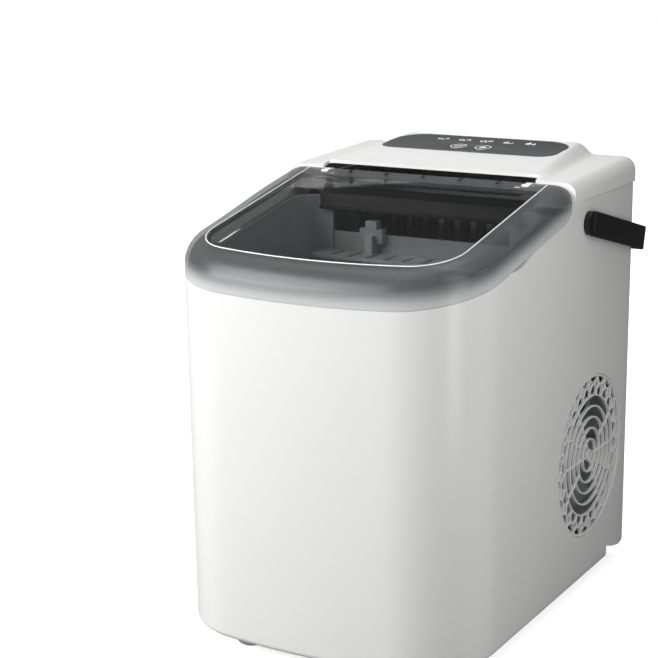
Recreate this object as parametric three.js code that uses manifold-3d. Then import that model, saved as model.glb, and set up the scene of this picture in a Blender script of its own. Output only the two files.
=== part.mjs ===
// Countertop ice maker: a white wrap-round housing with a tilting smoked lid over the ice tub,
// a rear cover with a control panel, a carry handle, and the ice-making and cooling parts inside.
// Millimetres. X runs across the machine (the fan is on +X), -Y is the front and +Z is up.
import * as THREE from 'three';
import { mergeVertices } from 'three/addons/utils/BufferGeometryUtils.js';
import Module from 'manifold-3d';

const wasm = await Module();
wasm.setup();

// ---------------------------------------------------------------- driving dimensions

// housing
const bodyWidth = 225;
const bodyDepth = 300;
const bodyHeight = 284.5;
const frontCornerRadius = 60;
const rearCornerRadius = 6;
const frontBowRadius = 450;
const bottomEdgeRadius = 4;
const wall = 2.5;
const clearance = 0.3;
const heelLength = 38;
const heelRise = 9;

// feet
const footHeight = 8;
const footRadius = 10;
const frontFootX = bodyWidth / 2 - 58.5;
const rearFootX = bodyWidth / 2 - 30.5;
const frontFootInset = 25;
const rearFootInset = 55;

// lid seam: the housing's top edge slopes down to the front
const seamSlope = 0.1965;
const seamRearHeight = bodyHeight - 10.6;
const seamRearY = bodyDepth / 2 - 123;
const shoulderFrontY = seamRearY - 15;
const shoulderRun = 36;
const notchY = 88.5 - bodyDepth / 2;
const notchDepth = 2;
const notchRadius = 47;

// lid
const skirtHeight = 22;
const lipHeight = 5;
const windowInsetSide = 18.5;
const windowInsetFront = 16.8;
const windowCornerRadius = 32;
const windowBowRadius = 420;
const windowBorder = 1.5;
const windowThickness = 1.2;
const windowRearY = seamRearY - 12;
const lidRearY = seamRearY + 2.3;
const lidSharpY = seamRearY - 27;
const lidRoundY = seamRearY - 117;
const lidRearFullness = 0.6;
const hingeY = lidRearY - 2.8;
const hingeZ = bodyHeight + 8.5;
const hingeBarHalf = bodyWidth / 2 - 36.5;
const hingeBarFront = 7.3;
const hingeBarDrop = 5;
const hingePinRadius = 1.6;
const hingePinLength = 11.5;
const knuckleWidth = 5.7;

// rear cover
const cheekFrontY = lidRearY + 1.9;
const coverFrontY = cheekFrontY + 7.8;
const coverOverhang = 3;
const coverSideStep = 1.5;
const coverSkirtDrop = 10.5;
const platformHalfFront = bodyWidth / 2 - 32.5;
const platformHalfRear = bodyWidth / 2 - 44.5;
const panelFrontY = bodyDepth / 2 - 62.5;
const panelRearY = bodyDepth / 2 - 11;
const cheekFrontZ = bodyHeight + 13.7;
const cheekRearZ = bodyHeight + 18.5;
const coverLipZ = bodyHeight + 16.8;
const panelFrontZ = bodyHeight + 21.5;
const panelRearZ = bodyHeight + 26;
const cheekRound = 9;
const rampWidth = 13;
const rearEdgeRound = 12;
const rearEdgeDrop = 10;

// control panel
const overlayHalfWidth = platformHalfRear + 2.5;
const overlayFrontCorner = 12;
const overlayRearCorner = 22;
const overlayThickness = 1;
const buttonRadius = 6.5;
const buttonSpacing = 20;
const buttonSetback = 16;
const buttonHeight = 1.6;
const buttonTravel = 0.4;
const boardDrop = 9;
const boardThickness = 1.6;
const boardHalf = overlayHalfWidth - 15;

// tub and ice-making chamber
const tubInset = 14.5;
const tubFloorZ = 62;
const tubRearY = seamRearY - 7;
const tubLowerRearY = tubRearY - 18;
const tubStepHighZ = bodyHeight - 62.5;
const tubStepLowZ = tubStepHighZ - 32;
const tubRimRise = 5;
const tubCornerRadius = 14;
const tubWall = 2.5;
const chamberSideRoom = 32.5;
const chamberHalfWidth = bodyWidth / 2 - chamberSideRoom;
const chamberTopZ = bodyHeight - 7.5;
const chamberRearY = bodyDepth / 2 - 55;
const chamberFloorZ = chamberTopZ - 99;
const mouthHalfWidth = chamberHalfWidth - 10;
const mouthLintelZ = chamberTopZ - 8;
const mouthSillZ = mouthLintelZ - 41;
const foamGap = 0.5;
const foamBottom = 8;

// ice basket
const basketInset = 6;
const basketRearGap = 11;
const basketWall = 2;
const basketBottomZ = 84;
const basketTopZ = tubStepHighZ - 2;
const basketCorner = 34;

// evaporator, tray and shovel
const trayAxisY = tubRearY + 48;
const trayAxisZ = mouthLintelZ - 31;
const trayRadius = 20;
const trayWall = 1.8;
const trayHalfLength = chamberHalfWidth - 18;
const fingerCount = 9;
const fingerPitch = (trayHalfLength - 10) / 4;
const fingerRadius = 4;
const fingerLength = 35;
const evaporatorBarHeight = 5;
const evaporatorBarDepth = 12;
const shovelHalfWidth = chamberHalfWidth - 5;
const shovelFrontY = tubRearY - 28;
const shovelRearY = tubRearY + 2;
const shovelZ = trayAxisZ;
const shovelThickness = 2.2;
const shovelRiserHalf = mouthHalfWidth - 1;
const shovelRiserHeight = 15;
const shovelSlotCount = 9;
const shovelSlotPitch = 14.5;
const shovelSlotLength = 24;
const shovelSlotWidth = 3;
const lugX = -36;
const lugHeight = 9;
const shovelArmX = mouthHalfWidth - 3;
const shovelArmRearY = trayAxisY - 10;
const shovelArmHeight = 7;
const hoodDepth = 4;
const shaftRadius = 2.5;
const motorWidth = 20;
const motorSize = 30;

// cooling
const fanY = bodyDepth / 2 - 76.4;
const fanZ = bodyHeight * 0.3283;
const grilleRadius = 60;
const grilleRimWidth = 2.5;
const grilleRecess = 0.2;
const grilleThickness = 2.4;
const grilleLongSpokes = [0, 120, 180, 300];
const grilleShortSpokes = [30, 150, 210, 330];
const grilleShortSpokeStart = 2;
const grilleRings = [4, 12.1, 20.2, 28.3, 36.4, 44.5];
const grilleRibWidth = 1.6;
const cellCount = 24;
const cellFirstAngle = 9.5;
const cellFlatHalf = 2.2;
const cellMidRadius = 52.8;
const cellReach = 4;
const fanRadius = 50;
const fanHubRadius = 17;
const fanDepth = 16;
const fanBlades = 7;
const fanBladePitch = 22;
const fanToWall = 12;
const shroudWall = 2;
const shroudSize = 114;
const condenserThickness = 24;
const condenserFins = 12;
const condenserHeight = chamberFloorZ - 66;
const condenserLength = 104;
const compressorX = 67.5 - bodyWidth / 2;
const compressorY = bodyDepth / 2 - 66;
const compressorRadius = 46;
const compressorHeight = chamberFloorZ - 42;
const mountHeight = 12;
const mountRadius = 8;
const lineRadius = 3;

// base
const trayFloorZ = 1;
const trayFloorThickness = 3;
const trayUpstand = 20;

// handle
const handleY = bodyDepth / 2 - 92.5;
const handleZ = bodyHeight - 17.5;
const handleReach = 108;
const handleWidth = 17.5;
const handleArmThickness = 3.6;
const handleGripThickness = 4.5;
const handleStandOff = 1.9;
const handleDroop = 14.7;
const handlePinRadius = 4;
const hubRecess = 0.9;
const hubCap = 0.9;
const handleCorner = 4;

// back panel and fittings
const backOpeningInset = 17;
const backOpeningBottom = 28;
const backOpeningTop = bodyHeight - 26.5;
const backOverlap = 6;
const ventCount = 11;
const ventPitch = 9;
const ventHeight = 4;
const ventHalfWidth = 58;
const screwRadius = 1.7;
const screwHeadRadius = 3.6;
const glandRadius = 9;
const glandX = bodyWidth / 2 - 42.5;
const glandZ = 46;
const drainY = tubRearY - 60;
const drainZ = 36;
const drainRadius = 10;

// ---------------------------------------------------------------- colours

const paint = (color, roughness, metalness = 0) =>
  new THREE.MeshStandardMaterial({ color, roughness, metalness });
const white = paint('#f2f2f1', 0.35);
const liner = paint('#9b9d9f', 0.45);
const smoke = new THREE.MeshStandardMaterial({
  color: '#5a5c5e',
  roughness: 0.15,
  transparent: true,
  opacity: 0.45,
});
const charcoal = paint('#4b4c4e', 0.4);
const black = paint('#1a1a1a', 0.5);
const steel = paint('#b9bcbe', 0.3, 1);
const copper = paint('#b87545', 0.35, 1);
const foam = paint('#f0efe8', 0.9);
const rubber = paint('#2a2a2a', 0.9);
const green = paint('#22603a', 0.5);
const pale = paint('#d9dbdb', 0.4);

// ---------------------------------------------------------------- solids from geometry

const degrees = Math.PI / 180;
const outlineSegments = 4;

/** Keeps only position and merges shared vertices, so that the mesh is closed. */
function welded(geometry) {
  geometry.deleteAttribute('normal');
  geometry.deleteAttribute('uv');
  return mergeVertices(geometry, 1e-4);
}

/** A manifold-3d solid from a closed three.js geometry. */
function solid(geometry) {
  const closed = welded(geometry);
  return new wasm.Manifold(new wasm.Mesh({
    numProp: 3,
    vertProperties: new Float32Array(closed.attributes.position.array),
    triVerts: new Uint32Array(closed.index.array),
  }));
}

/** A three.js geometry from a manifold-3d solid. */
function geometryOf(body) {
  const mesh = body.getMesh();
  const geometry = new THREE.BufferGeometry();
  geometry.setAttribute('position', new THREE.BufferAttribute(new Float32Array(mesh.vertProperties), 3));
  geometry.setIndex(new THREE.BufferAttribute(new Uint32Array(mesh.triVerts), 1));
  geometry.computeVertexNormals();
  return geometry;
}

const joined = (first, ...rest) => rest.reduce((sum, next) => sum.add(next), first);
const cut = (first, ...rest) => rest.reduce((left, next) => left.subtract(next), first);

/** A box between two corners. */
function block(x0, x1, y0, y1, z0, z1) {
  const geometry = new THREE.BoxGeometry(x1 - x0, y1 - y0, z1 - z0);
  return solid(geometry.translate((x0 + x1) / 2, (y0 + y1) / 2, (z0 + z1) / 2));
}

/** A plan outline raised from z0 to z1. */
function raised(shape, z0, z1, curveSegments = outlineSegments) {
  const geometry = new THREE.ExtrudeGeometry(shape, { depth: z1 - z0, bevelEnabled: false, curveSegments });
  return solid(geometry.translate(0, 0, z0));
}

const sideways = new THREE.Matrix4().makeBasis(
  new THREE.Vector3(0, 1, 0),
  new THREE.Vector3(0, 0, 1),
  new THREE.Vector3(1, 0, 0),
);

/** A side outline, drawn in Y and Z, run across the machine from x0 to x1. */
function across(shape, x0, x1, curveSegments = 6) {
  const geometry = new THREE.ExtrudeGeometry(shape, { depth: x1 - x0, bevelEnabled: false, curveSegments });
  return solid(geometry.applyMatrix4(sideways).translate(x0, 0, 0));
}

/** A closed outline through points given as [a, b] pairs. */
function polygon(points) {
  return new THREE.Shape(points.map(([a, b]) => new THREE.Vector2(a, b)));
}

/** A rod along X, Y or Z between two stations, centred on the other two coordinates. */
function rod(axis, from, to, a, b, radius, sides = 16, endRadius = radius) {
  const geometry = new THREE.CylinderGeometry(endRadius, radius, to - from, sides);
  const middle = (from + to) / 2;
  if (axis === 'x') return solid(geometry.rotateZ(-Math.PI / 2).translate(middle, a, b));
  if (axis === 'y') return solid(geometry.translate(a, middle, b));
  return solid(geometry.rotateX(Math.PI / 2).translate(a, b, middle));
}

/** A body turned about Z from a closed profile of [radius, height] pairs. */
function turned(profile, segments = 24) {
  const points = profile.map(([radius, height]) => new THREE.Vector2(radius, height));
  return solid(new THREE.LatheGeometry(points, segments).rotateX(Math.PI / 2));
}

/** A round tube or wire along a smooth curve through the points. */
function pipe(points, radius, steps, sides = 8) {
  const stations = points.map((point) => new THREE.Vector3(...point));
  const curve = new THREE.CatmullRomCurve3(stations, false, 'centripetal');
  const ring = new THREE.Shape();
  ring.absarc(0, 0, radius, 0, 2 * Math.PI, false);
  const settings = { steps, extrudePath: curve, bevelEnabled: false, curveSegments: sides / 2 };
  return solid(new THREE.ExtrudeGeometry(ring, settings));
}

/** A skin over rings of equal point count. flat maps a ring point to 2-D, seen from beyond the last ring. */
function lofted(rings, flat) {
  const count = rings[0].length;
  const positions = rings.flat().flatMap((point) => [point.x, point.y, point.z]);
  const index = [];
  for (let ring = 0; ring + 1 < rings.length; ring += 1) {
    for (let step = 0; step < count; step += 1) {
      const here = ring * count + step;
      const next = ring * count + ((step + 1) % count);
      index.push(here, next, next + count, here, next + count, here + count);
    }
  }
  const last = (rings.length - 1) * count;
  THREE.ShapeUtils.triangulateShape(rings[0].map(flat), []).forEach(([a, b, c]) => index.push(a, c, b));
  THREE.ShapeUtils.triangulateShape(rings.at(-1).map(flat), []).forEach(([a, b, c]) => {
    index.push(last + a, last + b, last + c);
  });
  const geometry = new THREE.BufferGeometry();
  geometry.setAttribute('position', new THREE.Float32BufferAttribute(positions, 3));
  geometry.setIndex(index);
  return solid(geometry);
}

// ---------------------------------------------------------------- shared outlines

/** Plan outline with a bowed front, round front corners and small rear corners. */
function planOutline({ half, front, rear, corner, rearCorner, bow }) {
  const bowY = front + bow;
  const cornerX = half - corner;
  const cornerY = bowY - Math.sqrt((bow - corner) ** 2 - cornerX ** 2);
  const tangent = Math.atan2(cornerY - bowY, cornerX);
  const bowTip = bowY + bow / Math.sin(tangent);
  const shape = new THREE.Shape();
  shape.moveTo(half, cornerY);
  shape.lineTo(half, rear - rearCorner);
  shape.quadraticCurveTo(half, rear, half - rearCorner, rear);
  shape.lineTo(rearCorner - half, rear);
  shape.quadraticCurveTo(-half, rear, -half, rear - rearCorner);
  shape.lineTo(-half, cornerY);
  shape.absarc(-cornerX, cornerY, corner, Math.PI, -Math.PI - tangent, false);
  shape.quadraticCurveTo(0, bowTip, bow * Math.cos(tangent), bowY + bow * Math.sin(tangent));
  shape.absarc(cornerX, cornerY, corner, tangent, 0, false);
  return shape;
}

const bodyHalf = bodyWidth / 2;
const bodyFront = -bodyDepth / 2;
const bodyRear = bodyDepth / 2;

/** The housing's plan outline, moved inwards by inset. */
function bodyPlan(inset, rear = bodyRear - inset, rearCorner = Math.max(rearCornerRadius - inset, 1)) {
  return planOutline({
    half: bodyHalf - inset,
    front: bodyFront + inset,
    rear,
    corner: frontCornerRadius - inset,
    rearCorner,
    bow: frontBowRadius - inset,
  });
}

/** Height of the lid seam plane at a given y. */
const seamZ = (y) => seamRearHeight + seamSlope * (y - seamRearY);

/** Turns level heights above the seam into real ones: z rises with y along the seam plane. */
const seamShear = new THREE.Matrix4().set(
  1, 0, 0, 0,
  0, 1, 0, 0,
  0, seamSlope, 1, seamZ(0),
  0, 0, 0, 1,
);

/** A plan outline raised between two heights measured from the seam plane. */
function raisedFromSeam(shape, low, high, curveSegments = outlineSegments) {
  const settings = { depth: high - low, bevelEnabled: false, curveSegments };
  const geometry = new THREE.ExtrudeGeometry(shape, settings);
  return solid(geometry.translate(0, 0, low).applyMatrix4(seamShear));
}

/** Everything above the housing's top edge, moved up or down by lift. */
function aboveHousing(lift, reach = 40) {
  const shape = new THREE.Shape();
  const low = seamZ(shoulderFrontY) + lift;
  const high = bodyHeight + lift;
  const middleY = shoulderFrontY + shoulderRun * 0.5;
  shape.moveTo(bodyFront - reach, seamZ(bodyFront - reach) + lift);
  shape.lineTo(shoulderFrontY, low);
  shape.bezierCurveTo(
    middleY, low + shoulderRun * 0.5 * seamSlope,
    middleY, high,
    shoulderFrontY + shoulderRun, high,
  );
  shape.lineTo(bodyRear + reach, high);
  shape.lineTo(bodyRear + reach, high + 2 * reach);
  shape.lineTo(bodyFront - reach, high + 2 * reach);
  return across(shape, -bodyWidth, bodyWidth);
}

/** The raised heel at the bottom rear of the housing. */
function heel(gap) {
  const start = bodyRear - heelLength - gap;
  const top = heelRise + gap;
  const shape = new THREE.Shape();
  shape.moveTo(start, -footHeight);
  shape.lineTo(start, 0);
  shape.quadraticCurveTo(start, top, start + heelRise, top);
  shape.lineTo(bodyRear + heelLength, top);
  shape.lineTo(bodyRear + heelLength, -footHeight);
  return across(shape, -bodyWidth, bodyWidth);
}

// ---------------------------------------------------------------- housing

const backOpeningHalf = bodyHalf - backOpeningInset;
const screwPlaces = [-1, 1].flatMap((side) => [backOpeningBottom, backOpeningTop].map((height) => ({
  x: side * (backOpeningHalf + backOverlap / 2 + 1),
  z: height + (height === backOpeningBottom ? 12 : -12),
})));

function bodyShell() {
  const settings = {
    depth: bodyHeight + 20 - 2 * bottomEdgeRadius,
    bevelEnabled: true,
    bevelSize: bottomEdgeRadius,
    bevelOffset: -bottomEdgeRadius,
    bevelThickness: bottomEdgeRadius,
    bevelSegments: 2,
    curveSegments: outlineSegments,
  };
  const outer = solid(new THREE.ExtrudeGeometry(bodyPlan(0), settings).translate(0, 0, bottomEdgeRadius));
  const inner = raised(bodyPlan(wall), -1, bodyHeight + 40);
  const backOpening = block(
    -backOpeningHalf, backOpeningHalf,
    bodyRear - 3 * wall, bodyRear + wall,
    backOpeningBottom, backOpeningTop,
  );
  const holes = screwPlaces.map(({ x, z }) => (
    rod('y', bodyRear - 2 * wall, bodyRear + wall, x, z, screwRadius + clearance, 12)
  ));
  const fanHole = rod('x', bodyHalf - 2 * wall, bodyHalf + wall, fanY, fanZ, grilleRadius + clearance, 64);
  const handleHoles = [-1, 1].map((side) => rod(
    'x', side * bodyHalf - 2 * wall, side * bodyHalf + 2 * wall,
    handleY, handleZ, handlePinRadius + clearance,
  ));
  const drainHole = rod(
    'x', -bodyHalf - wall, -bodyHalf + 2 * wall, drainY, drainZ, drainRadius + clearance,
  );
  const notchZ = seamZ(notchY) + notchRadius - notchDepth;
  const notch = rod('x', -bodyWidth, bodyWidth, notchY, notchZ, notchRadius, 48);
  const openings = [backOpening, fanHole, drainHole, notch, ...holes, ...handleHoles];
  return cut(outer, inner, aboveHousing(0), heel(0), ...openings);
}

/** Louvred plate that closes the back from inside. */
function backPanel() {
  const half = backOpeningHalf + backOverlap;
  const outerFace = bodyRear - wall - clearance;
  const plate = block(
    -half, half, outerFace - wall, outerFace, backOpeningBottom - backOverlap, backOpeningTop + backOverlap,
  );
  const field = block(
    -backOpeningHalf + clearance, backOpeningHalf - clearance, outerFace - wall, bodyRear - wall / 2,
    backOpeningBottom + clearance, backOpeningTop - clearance,
  );
  const vents = [];
  for (let row = 0; row < ventCount; row += 1) {
    const z = backOpeningTop - 26 - row * ventPitch;
    [-1, 1].forEach((side) => {
      const near = 3;
      const x0 = side > 0 ? near : -ventHalfWidth;
      const x1 = side > 0 ? ventHalfWidth : -near;
      vents.push(block(x0, x1, bodyRear - 4 * wall, bodyRear + wall, z - ventHeight, z));
    });
  }
  const holes = screwPlaces.map(({ x, z }) => (
    rod('y', bodyRear - 4 * wall, bodyRear + wall, x, z, screwRadius + clearance, 12)
  ));
  const gland = rod('y', bodyRear - 4 * wall, bodyRear + wall, glandX, glandZ, glandRadius - 2, 20);
  return cut(plate.add(field), ...vents, ...holes, gland);
}

function backScrew({ x, z }) {
  const shank = rod('y', bodyRear - 2 * wall - 8, bodyRear + clearance, x, z, screwRadius, 12);
  const head = rod('y', bodyRear + clearance, bodyRear + clearance + 1.6, x, z, screwHeadRadius, 16, 2.4);
  const slot = block(x - 0.5, x + 0.5, bodyRear + 1, bodyRear + 3, z - 2, z + 2);
  return cut(shank.add(head), slot);
}

/** Floor of the machine, with an upstand inside the housing and a step over the heel. */
function baseTray() {
  const gap = wall + clearance;
  const stepY = bodyRear - heelLength - gap;
  const rearFloorZ = heelRise + gap;
  const top = trayFloorZ + trayUpstand;
  const outer = raised(bodyPlan(gap), trayFloorZ, top);
  const inner = raised(bodyPlan(gap + wall), trayFloorZ + trayFloorThickness, top + 1);
  const rearStep = raised(bodyPlan(gap), trayFloorZ, rearFloorZ + trayFloorThickness)
    .intersect(block(-bodyHalf, bodyHalf, stepY - trayFloorThickness, bodyRear, 0, top));
  const boardPosts = boardPostPlaces.map(([x, y]) => (
    rod('z', trayFloorZ + 1, powerBoardZ - clearance, x, y, 3, 10)
  ));
  return joined(cut(outer, inner), rearStep, ...boardPosts).subtract(heel(gap - wall + 0.1));
}

const footPlaces = {
  foot_front_left: [-frontFootX, bodyFront + frontFootInset],
  foot_front_right: [frontFootX, bodyFront + frontFootInset],
  foot_rear_left: [-rearFootX, bodyRear - rearFootInset],
  foot_rear_right: [rearFootX, bodyRear - rearFootInset],
};

function foot([x, y]) {
  const top = trayFloorZ - clearance;
  return turned([
    [0, -footHeight],
    [footRadius - 1.5, -footHeight],
    [footRadius, -footHeight + 1.5],
    [footRadius - 1, top],
    [0, top],
  ]).translate([x, y, 0]);
}

// ---------------------------------------------------------------- lid

/** The lid window's plan outline, moved inwards by inset. */
function windowPlan(inset, rear) {
  return planOutline({
    half: bodyHalf - windowInsetSide - inset,
    front: bodyFront + windowInsetFront + inset,
    rear,
    corner: windowCornerRadius - inset,
    rearCorner: 1,
    bow: windowBowRadius - inset,
  });
}

/** An outline's corner points, without the repeats where an arc meets a line. */
function cornerPoints(shape) {
  const points = shape.getPoints(outlineSegments);
  return points.filter((point, index) => point.distanceTo(points.at(index - 1)) > 1e-6);
}

/** Exponent of the lid's section: 1 is a quarter-round, and less is squarer, towards the cheeks. */
function lidFullness(y) {
  const share = THREE.MathUtils.smoothstep(y, lidRoundY, lidSharpY);
  return THREE.MathUtils.lerp(1, lidRearFullness, share);
}

/** The lid's domed outer or inner surface as a solid block, inset and lowered by thickness. */
function lidBlock(thickness, rear) {
  const base = cornerPoints(bodyPlan(thickness, rear, 1));
  const crown = cornerPoints(windowPlan(thickness, rear));
  const rise = skirtHeight - lipHeight - thickness;
  const ringAt = (angle, bottom) => base.map((point, index) => {
    const fullness = lidFullness(point.y);
    const share = 1 - Math.cos(angle) ** fullness;
    return new THREE.Vector3(
      THREE.MathUtils.lerp(point.x, crown[index].x, share),
      THREE.MathUtils.lerp(point.y, crown[index].y, share),
      bottom + rise * Math.sin(angle) ** fullness,
    ).applyMatrix4(seamShear);
  });
  const rings = [ringAt(0, -wall - thickness)];
  const steps = 5;
  for (let step = 0; step < steps; step += 1) {
    rings.push(ringAt((step / steps) * Math.PI / 2, lipHeight));
  }
  rings.push(ringAt(Math.PI / 2, lipHeight));
  return lofted(rings, (point) => new THREE.Vector2(point.x, point.y));
}

const lidTopZ = (y) => seamZ(y) + skirtHeight;
const knuckleRadius = lidTopZ(hingeY) - hingeZ;

/** Skirt, window seat and hinge bar in one piece, with a slot for each of the cover's knuckles. */
function lidFrame() {
  const shell = cut(lidBlock(0, lidRearY), lidBlock(wall, lidRearY + 1));
  const seat = raisedFromSeam(
    windowPlan(windowBorder - clearance, windowRearY + clearance),
    skirtHeight - windowThickness - clearance,
    skirtHeight + 3,
  );
  const opening = raisedFromSeam(
    windowPlan(windowBorder * 2, windowRearY - windowBorder), 0, skirtHeight + 3,
  );
  const barFrontY = lidRearY - hingeBarFront;
  const hingeBar = across(polygon([
    [barFrontY, hingeZ - hingeBarDrop],
    [lidRearY, hingeZ - hingeBarDrop],
    [lidRearY, lidTopZ(lidRearY)],
    [barFrontY, lidTopZ(barFrontY)],
  ]), -hingeBarHalf, hingeBarHalf);
  const slots = [-1, 1].map((side) => {
    const inner = hingeBarHalf;
    const outer = hingeBarHalf + knuckleWidth + 2 * clearance;
    const [from, to] = side > 0 ? [inner, outer] : [-outer, -inner];
    return block(from, to, barFrontY, lidRearY + 2, bodyHeight, hingeZ + 2 * skirtHeight);
  });
  const bores = [-1, 1].map((side) => {
    const inner = hingeBarHalf - hingePinLength / 2 - clearance;
    const [from, to] = side > 0 ? [inner, hingeBarHalf + 1] : [-hingeBarHalf - 1, -inner];
    return rod('x', from, to, hingeY, hingeZ, hingePinRadius + clearance, 16);
  });
  const body = cut(joined(cut(shell, seat, opening), hingeBar), ...slots, ...bores);
  return body.intersect(aboveHousing(clearance));
}

function lidWindow() {
  const low = skirtHeight - windowThickness;
  return raisedFromSeam(windowPlan(windowBorder, windowRearY), low, skirtHeight);
}

function lidPin(side) {
  const inner = hingeBarHalf - hingePinLength / 2;
  const outer = inner + hingePinLength;
  const [from, to] = side > 0 ? [inner, outer] : [-outer, -inner];
  return rod('x', from, to, hingeY, hingeZ, hingePinRadius, 16);
}

// ---------------------------------------------------------------- rear cover

const coverHalf = bodyHalf + coverSideStep;
const coverRear = bodyRear + coverOverhang;
const coverBottom = bodyHeight + clearance;
const shoulderDrop = bodyHeight - seamZ(shoulderFrontY);

/** Heights and half-width of the cover's cross-section at a given y. */
function coverSection(y) {
  const { lerp, clamp } = THREE.MathUtils;
  const toLip = clamp((y - cheekFrontY) / (coverFrontY - cheekFrontY), 0, 1);
  const toPanel = clamp((y - coverFrontY) / (panelFrontY - coverFrontY), 0, 1);
  const alongPanel = clamp((y - panelFrontY) / (panelRearY - panelFrontY), 0, 1);
  const length = clamp((y - cheekFrontY) / (bodyRear - cheekFrontY), 0, 1);
  const cheek = lerp(cheekFrontZ, cheekRearZ, length);
  const toFront = lerp(0, coverLipZ - cheekFrontZ, toLip) + lerp(0, panelFrontZ - coverLipZ, toPanel);
  const rise = toFront + lerp(0, panelRearZ - panelFrontZ, alongPanel);
  const platform = Math.max(cheekFrontZ + rise, cheek + 0.2);
  return { cheek, platform, halfTop: lerp(platformHalfFront, platformHalfRear, length) };
}

/**
 * The cover's cross-section at y, inset by thickness all round. rounding runs from 0 to 1 where the
 * section shrinks towards the rear edge.
 */
function coverRing(y, thickness, rounding, bottom) {
  const { cheek, platform, halfTop } = coverSection(y);
  const half = coverHalf - thickness - rearCornerRadius * rounding;
  const drop = thickness + rearEdgeDrop * rounding;
  const top = platform - drop;
  const shoulder = Math.min(cheek - drop, top - 0.1);
  const round = Math.min(cheekRound - thickness, shoulder - bottom - 0.5);
  const right = [];
  for (let step = 0; step <= 4; step += 1) {
    const share = step / 4;
    const eased = share * share * (3 - 2 * share);
    right.push([halfTop + rampWidth * share, THREE.MathUtils.lerp(top, shoulder, eased)]);
  }
  for (let step = 0; step <= 4; step += 1) {
    const angle = (step / 4) * Math.PI / 2;
    right.push([half - round + round * Math.sin(angle), shoulder - round + round * Math.cos(angle)]);
  }
  right.push([half, bottom]);
  const left = right.map(([x, z]) => [-x, z]).reverse();
  return [...right, ...left].map(([x, z]) => new THREE.Vector3(x, y, z));
}

/** The cover's outer or inner form as a solid block from front to rear. */
function coverBlock(thickness, front, bottom) {
  const stations = [front, coverFrontY, (coverFrontY + panelFrontY) / 2, panelFrontY, panelRearY];
  const rings = stations.map((y) => coverRing(y, thickness, 0, bottom));
  const steps = 4;
  for (let step = 0; step <= steps; step += 1) {
    const angle = (step / steps) * Math.PI / 2;
    const y = coverRear - rearEdgeRound + (rearEdgeRound - thickness) * Math.sin(angle);
    rings.push(coverRing(y, thickness, 1 - Math.cos(angle), bottom));
  }
  return lofted(rings, (point) => new THREE.Vector2(-point.x, point.z));
}

const panelTilt = Math.atan2(panelRearZ - panelFrontZ, panelRearY - panelFrontY);
const panelLength = Math.hypot(panelRearZ - panelFrontZ, panelRearY - panelFrontY);

/** The control panel's outline in the panel's own plane, grown by margin. */
function overlayOutline(margin) {
  const half = overlayHalfWidth + margin;
  const rear = panelLength + margin;
  const near = overlayFrontCorner + margin;
  const far = overlayRearCorner + margin;
  const shape = new THREE.Shape();
  shape.moveTo(near - half, -margin);
  shape.lineTo(half - near, -margin);
  shape.absarc(half - near, near - margin, near, -Math.PI / 2, 0, false);
  shape.lineTo(half, rear - far);
  shape.absarc(half - far, rear - far, far, 0, Math.PI / 2, false);
  shape.lineTo(far - half, rear);
  shape.absarc(far - half, rear - far, far, Math.PI / 2, Math.PI, false);
  shape.lineTo(-half, near - margin);
  shape.absarc(near - half, near - margin, near, Math.PI, 1.5 * Math.PI, false);
  return shape;
}

/** Moves a solid from the panel's own plane to the machine. */
const onPanel = (body) => body.rotate([panelTilt / degrees, 0, 0]).translate([0, panelFrontY, panelFrontZ]);
const buttonPlaces = [-buttonSpacing / 2, buttonSpacing / 2];

function topCover() {
  const outer = coverBlock(0, cheekFrontY, coverBottom - shoulderDrop).intersect(aboveHousing(clearance));
  const hollow = coverBlock(wall, cheekFrontY + wall, coverBottom - shoulderDrop - 1);
  const skirt = block(
    -backOpeningHalf + 4, backOpeningHalf - 4,
    coverRear - wall + clearance, coverRear,
    coverBottom - coverSkirtDrop, coverBottom + rearEdgeRound / 2,
  );
  const frontNotch = across(polygon([
    [cheekFrontY - 5, coverBottom - shoulderDrop],
    [coverFrontY, coverBottom - shoulderDrop],
    [coverFrontY, panelRearZ],
    [cheekFrontY - 5, panelRearZ],
  ]), -platformHalfFront - 4, platformHalfFront + 4);
  const lintelGap = across(polygon([
    [cheekFrontY - 5, coverBottom - shoulderDrop],
    [coverFrontY + wall + 1, coverBottom - shoulderDrop],
    [coverFrontY + wall + 1, cheekFrontZ],
    [cheekFrontY - 5, cheekFrontZ],
  ]), -platformHalfFront - 4, platformHalfFront + 4);
  const bosses = [-1, 1].map((side) => {
    const inner = hingeBarHalf + clearance;
    const outer = inner + knuckleWidth;
    const anchor = platformHalfFront + 8;
    const span = (near, far) => (side > 0 ? [near, far] : [-far, -near]);
    const knuckle = rod('x', ...span(inner, outer), hingeY, hingeZ, knuckleRadius, 20);
    const arm = block(...span(inner, outer), hingeY, cheekFrontY + 1, hingeZ - hingeBarDrop, hingeZ);
    const web = block(
      ...span(inner, anchor), cheekFrontY, cheekFrontY + wall + 1, coverBottom, hingeZ + knuckleRadius,
    );
    const bore = rod('x', ...span(inner - 1, outer + 1), hingeY, hingeZ, hingePinRadius + clearance, 16);
    return cut(joined(knuckle, arm, web), bore);
  });
  const pocket = onPanel(raised(overlayOutline(clearance), -overlayThickness - clearance, 5));
  const stemHoles = buttonPlaces.map((x) => (
    onPanel(rod('z', -6, 1, x, buttonSetback, buttonRadius * 0.6, 16))
  ));
  const posts = [-1, 1].flatMap((side) => [6, panelLength - 6].map((y) => (
    onPanel(rod('z', -boardDrop + clearance, -wall * 0.7, side * (boardHalf - 6), y, 3, 10))
  )));
  const shell = cut(outer, hollow, frontNotch, lintelGap);
  return cut(joined(shell, skirt, ...bosses, ...posts), pocket, ...stemHoles);
}

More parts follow.
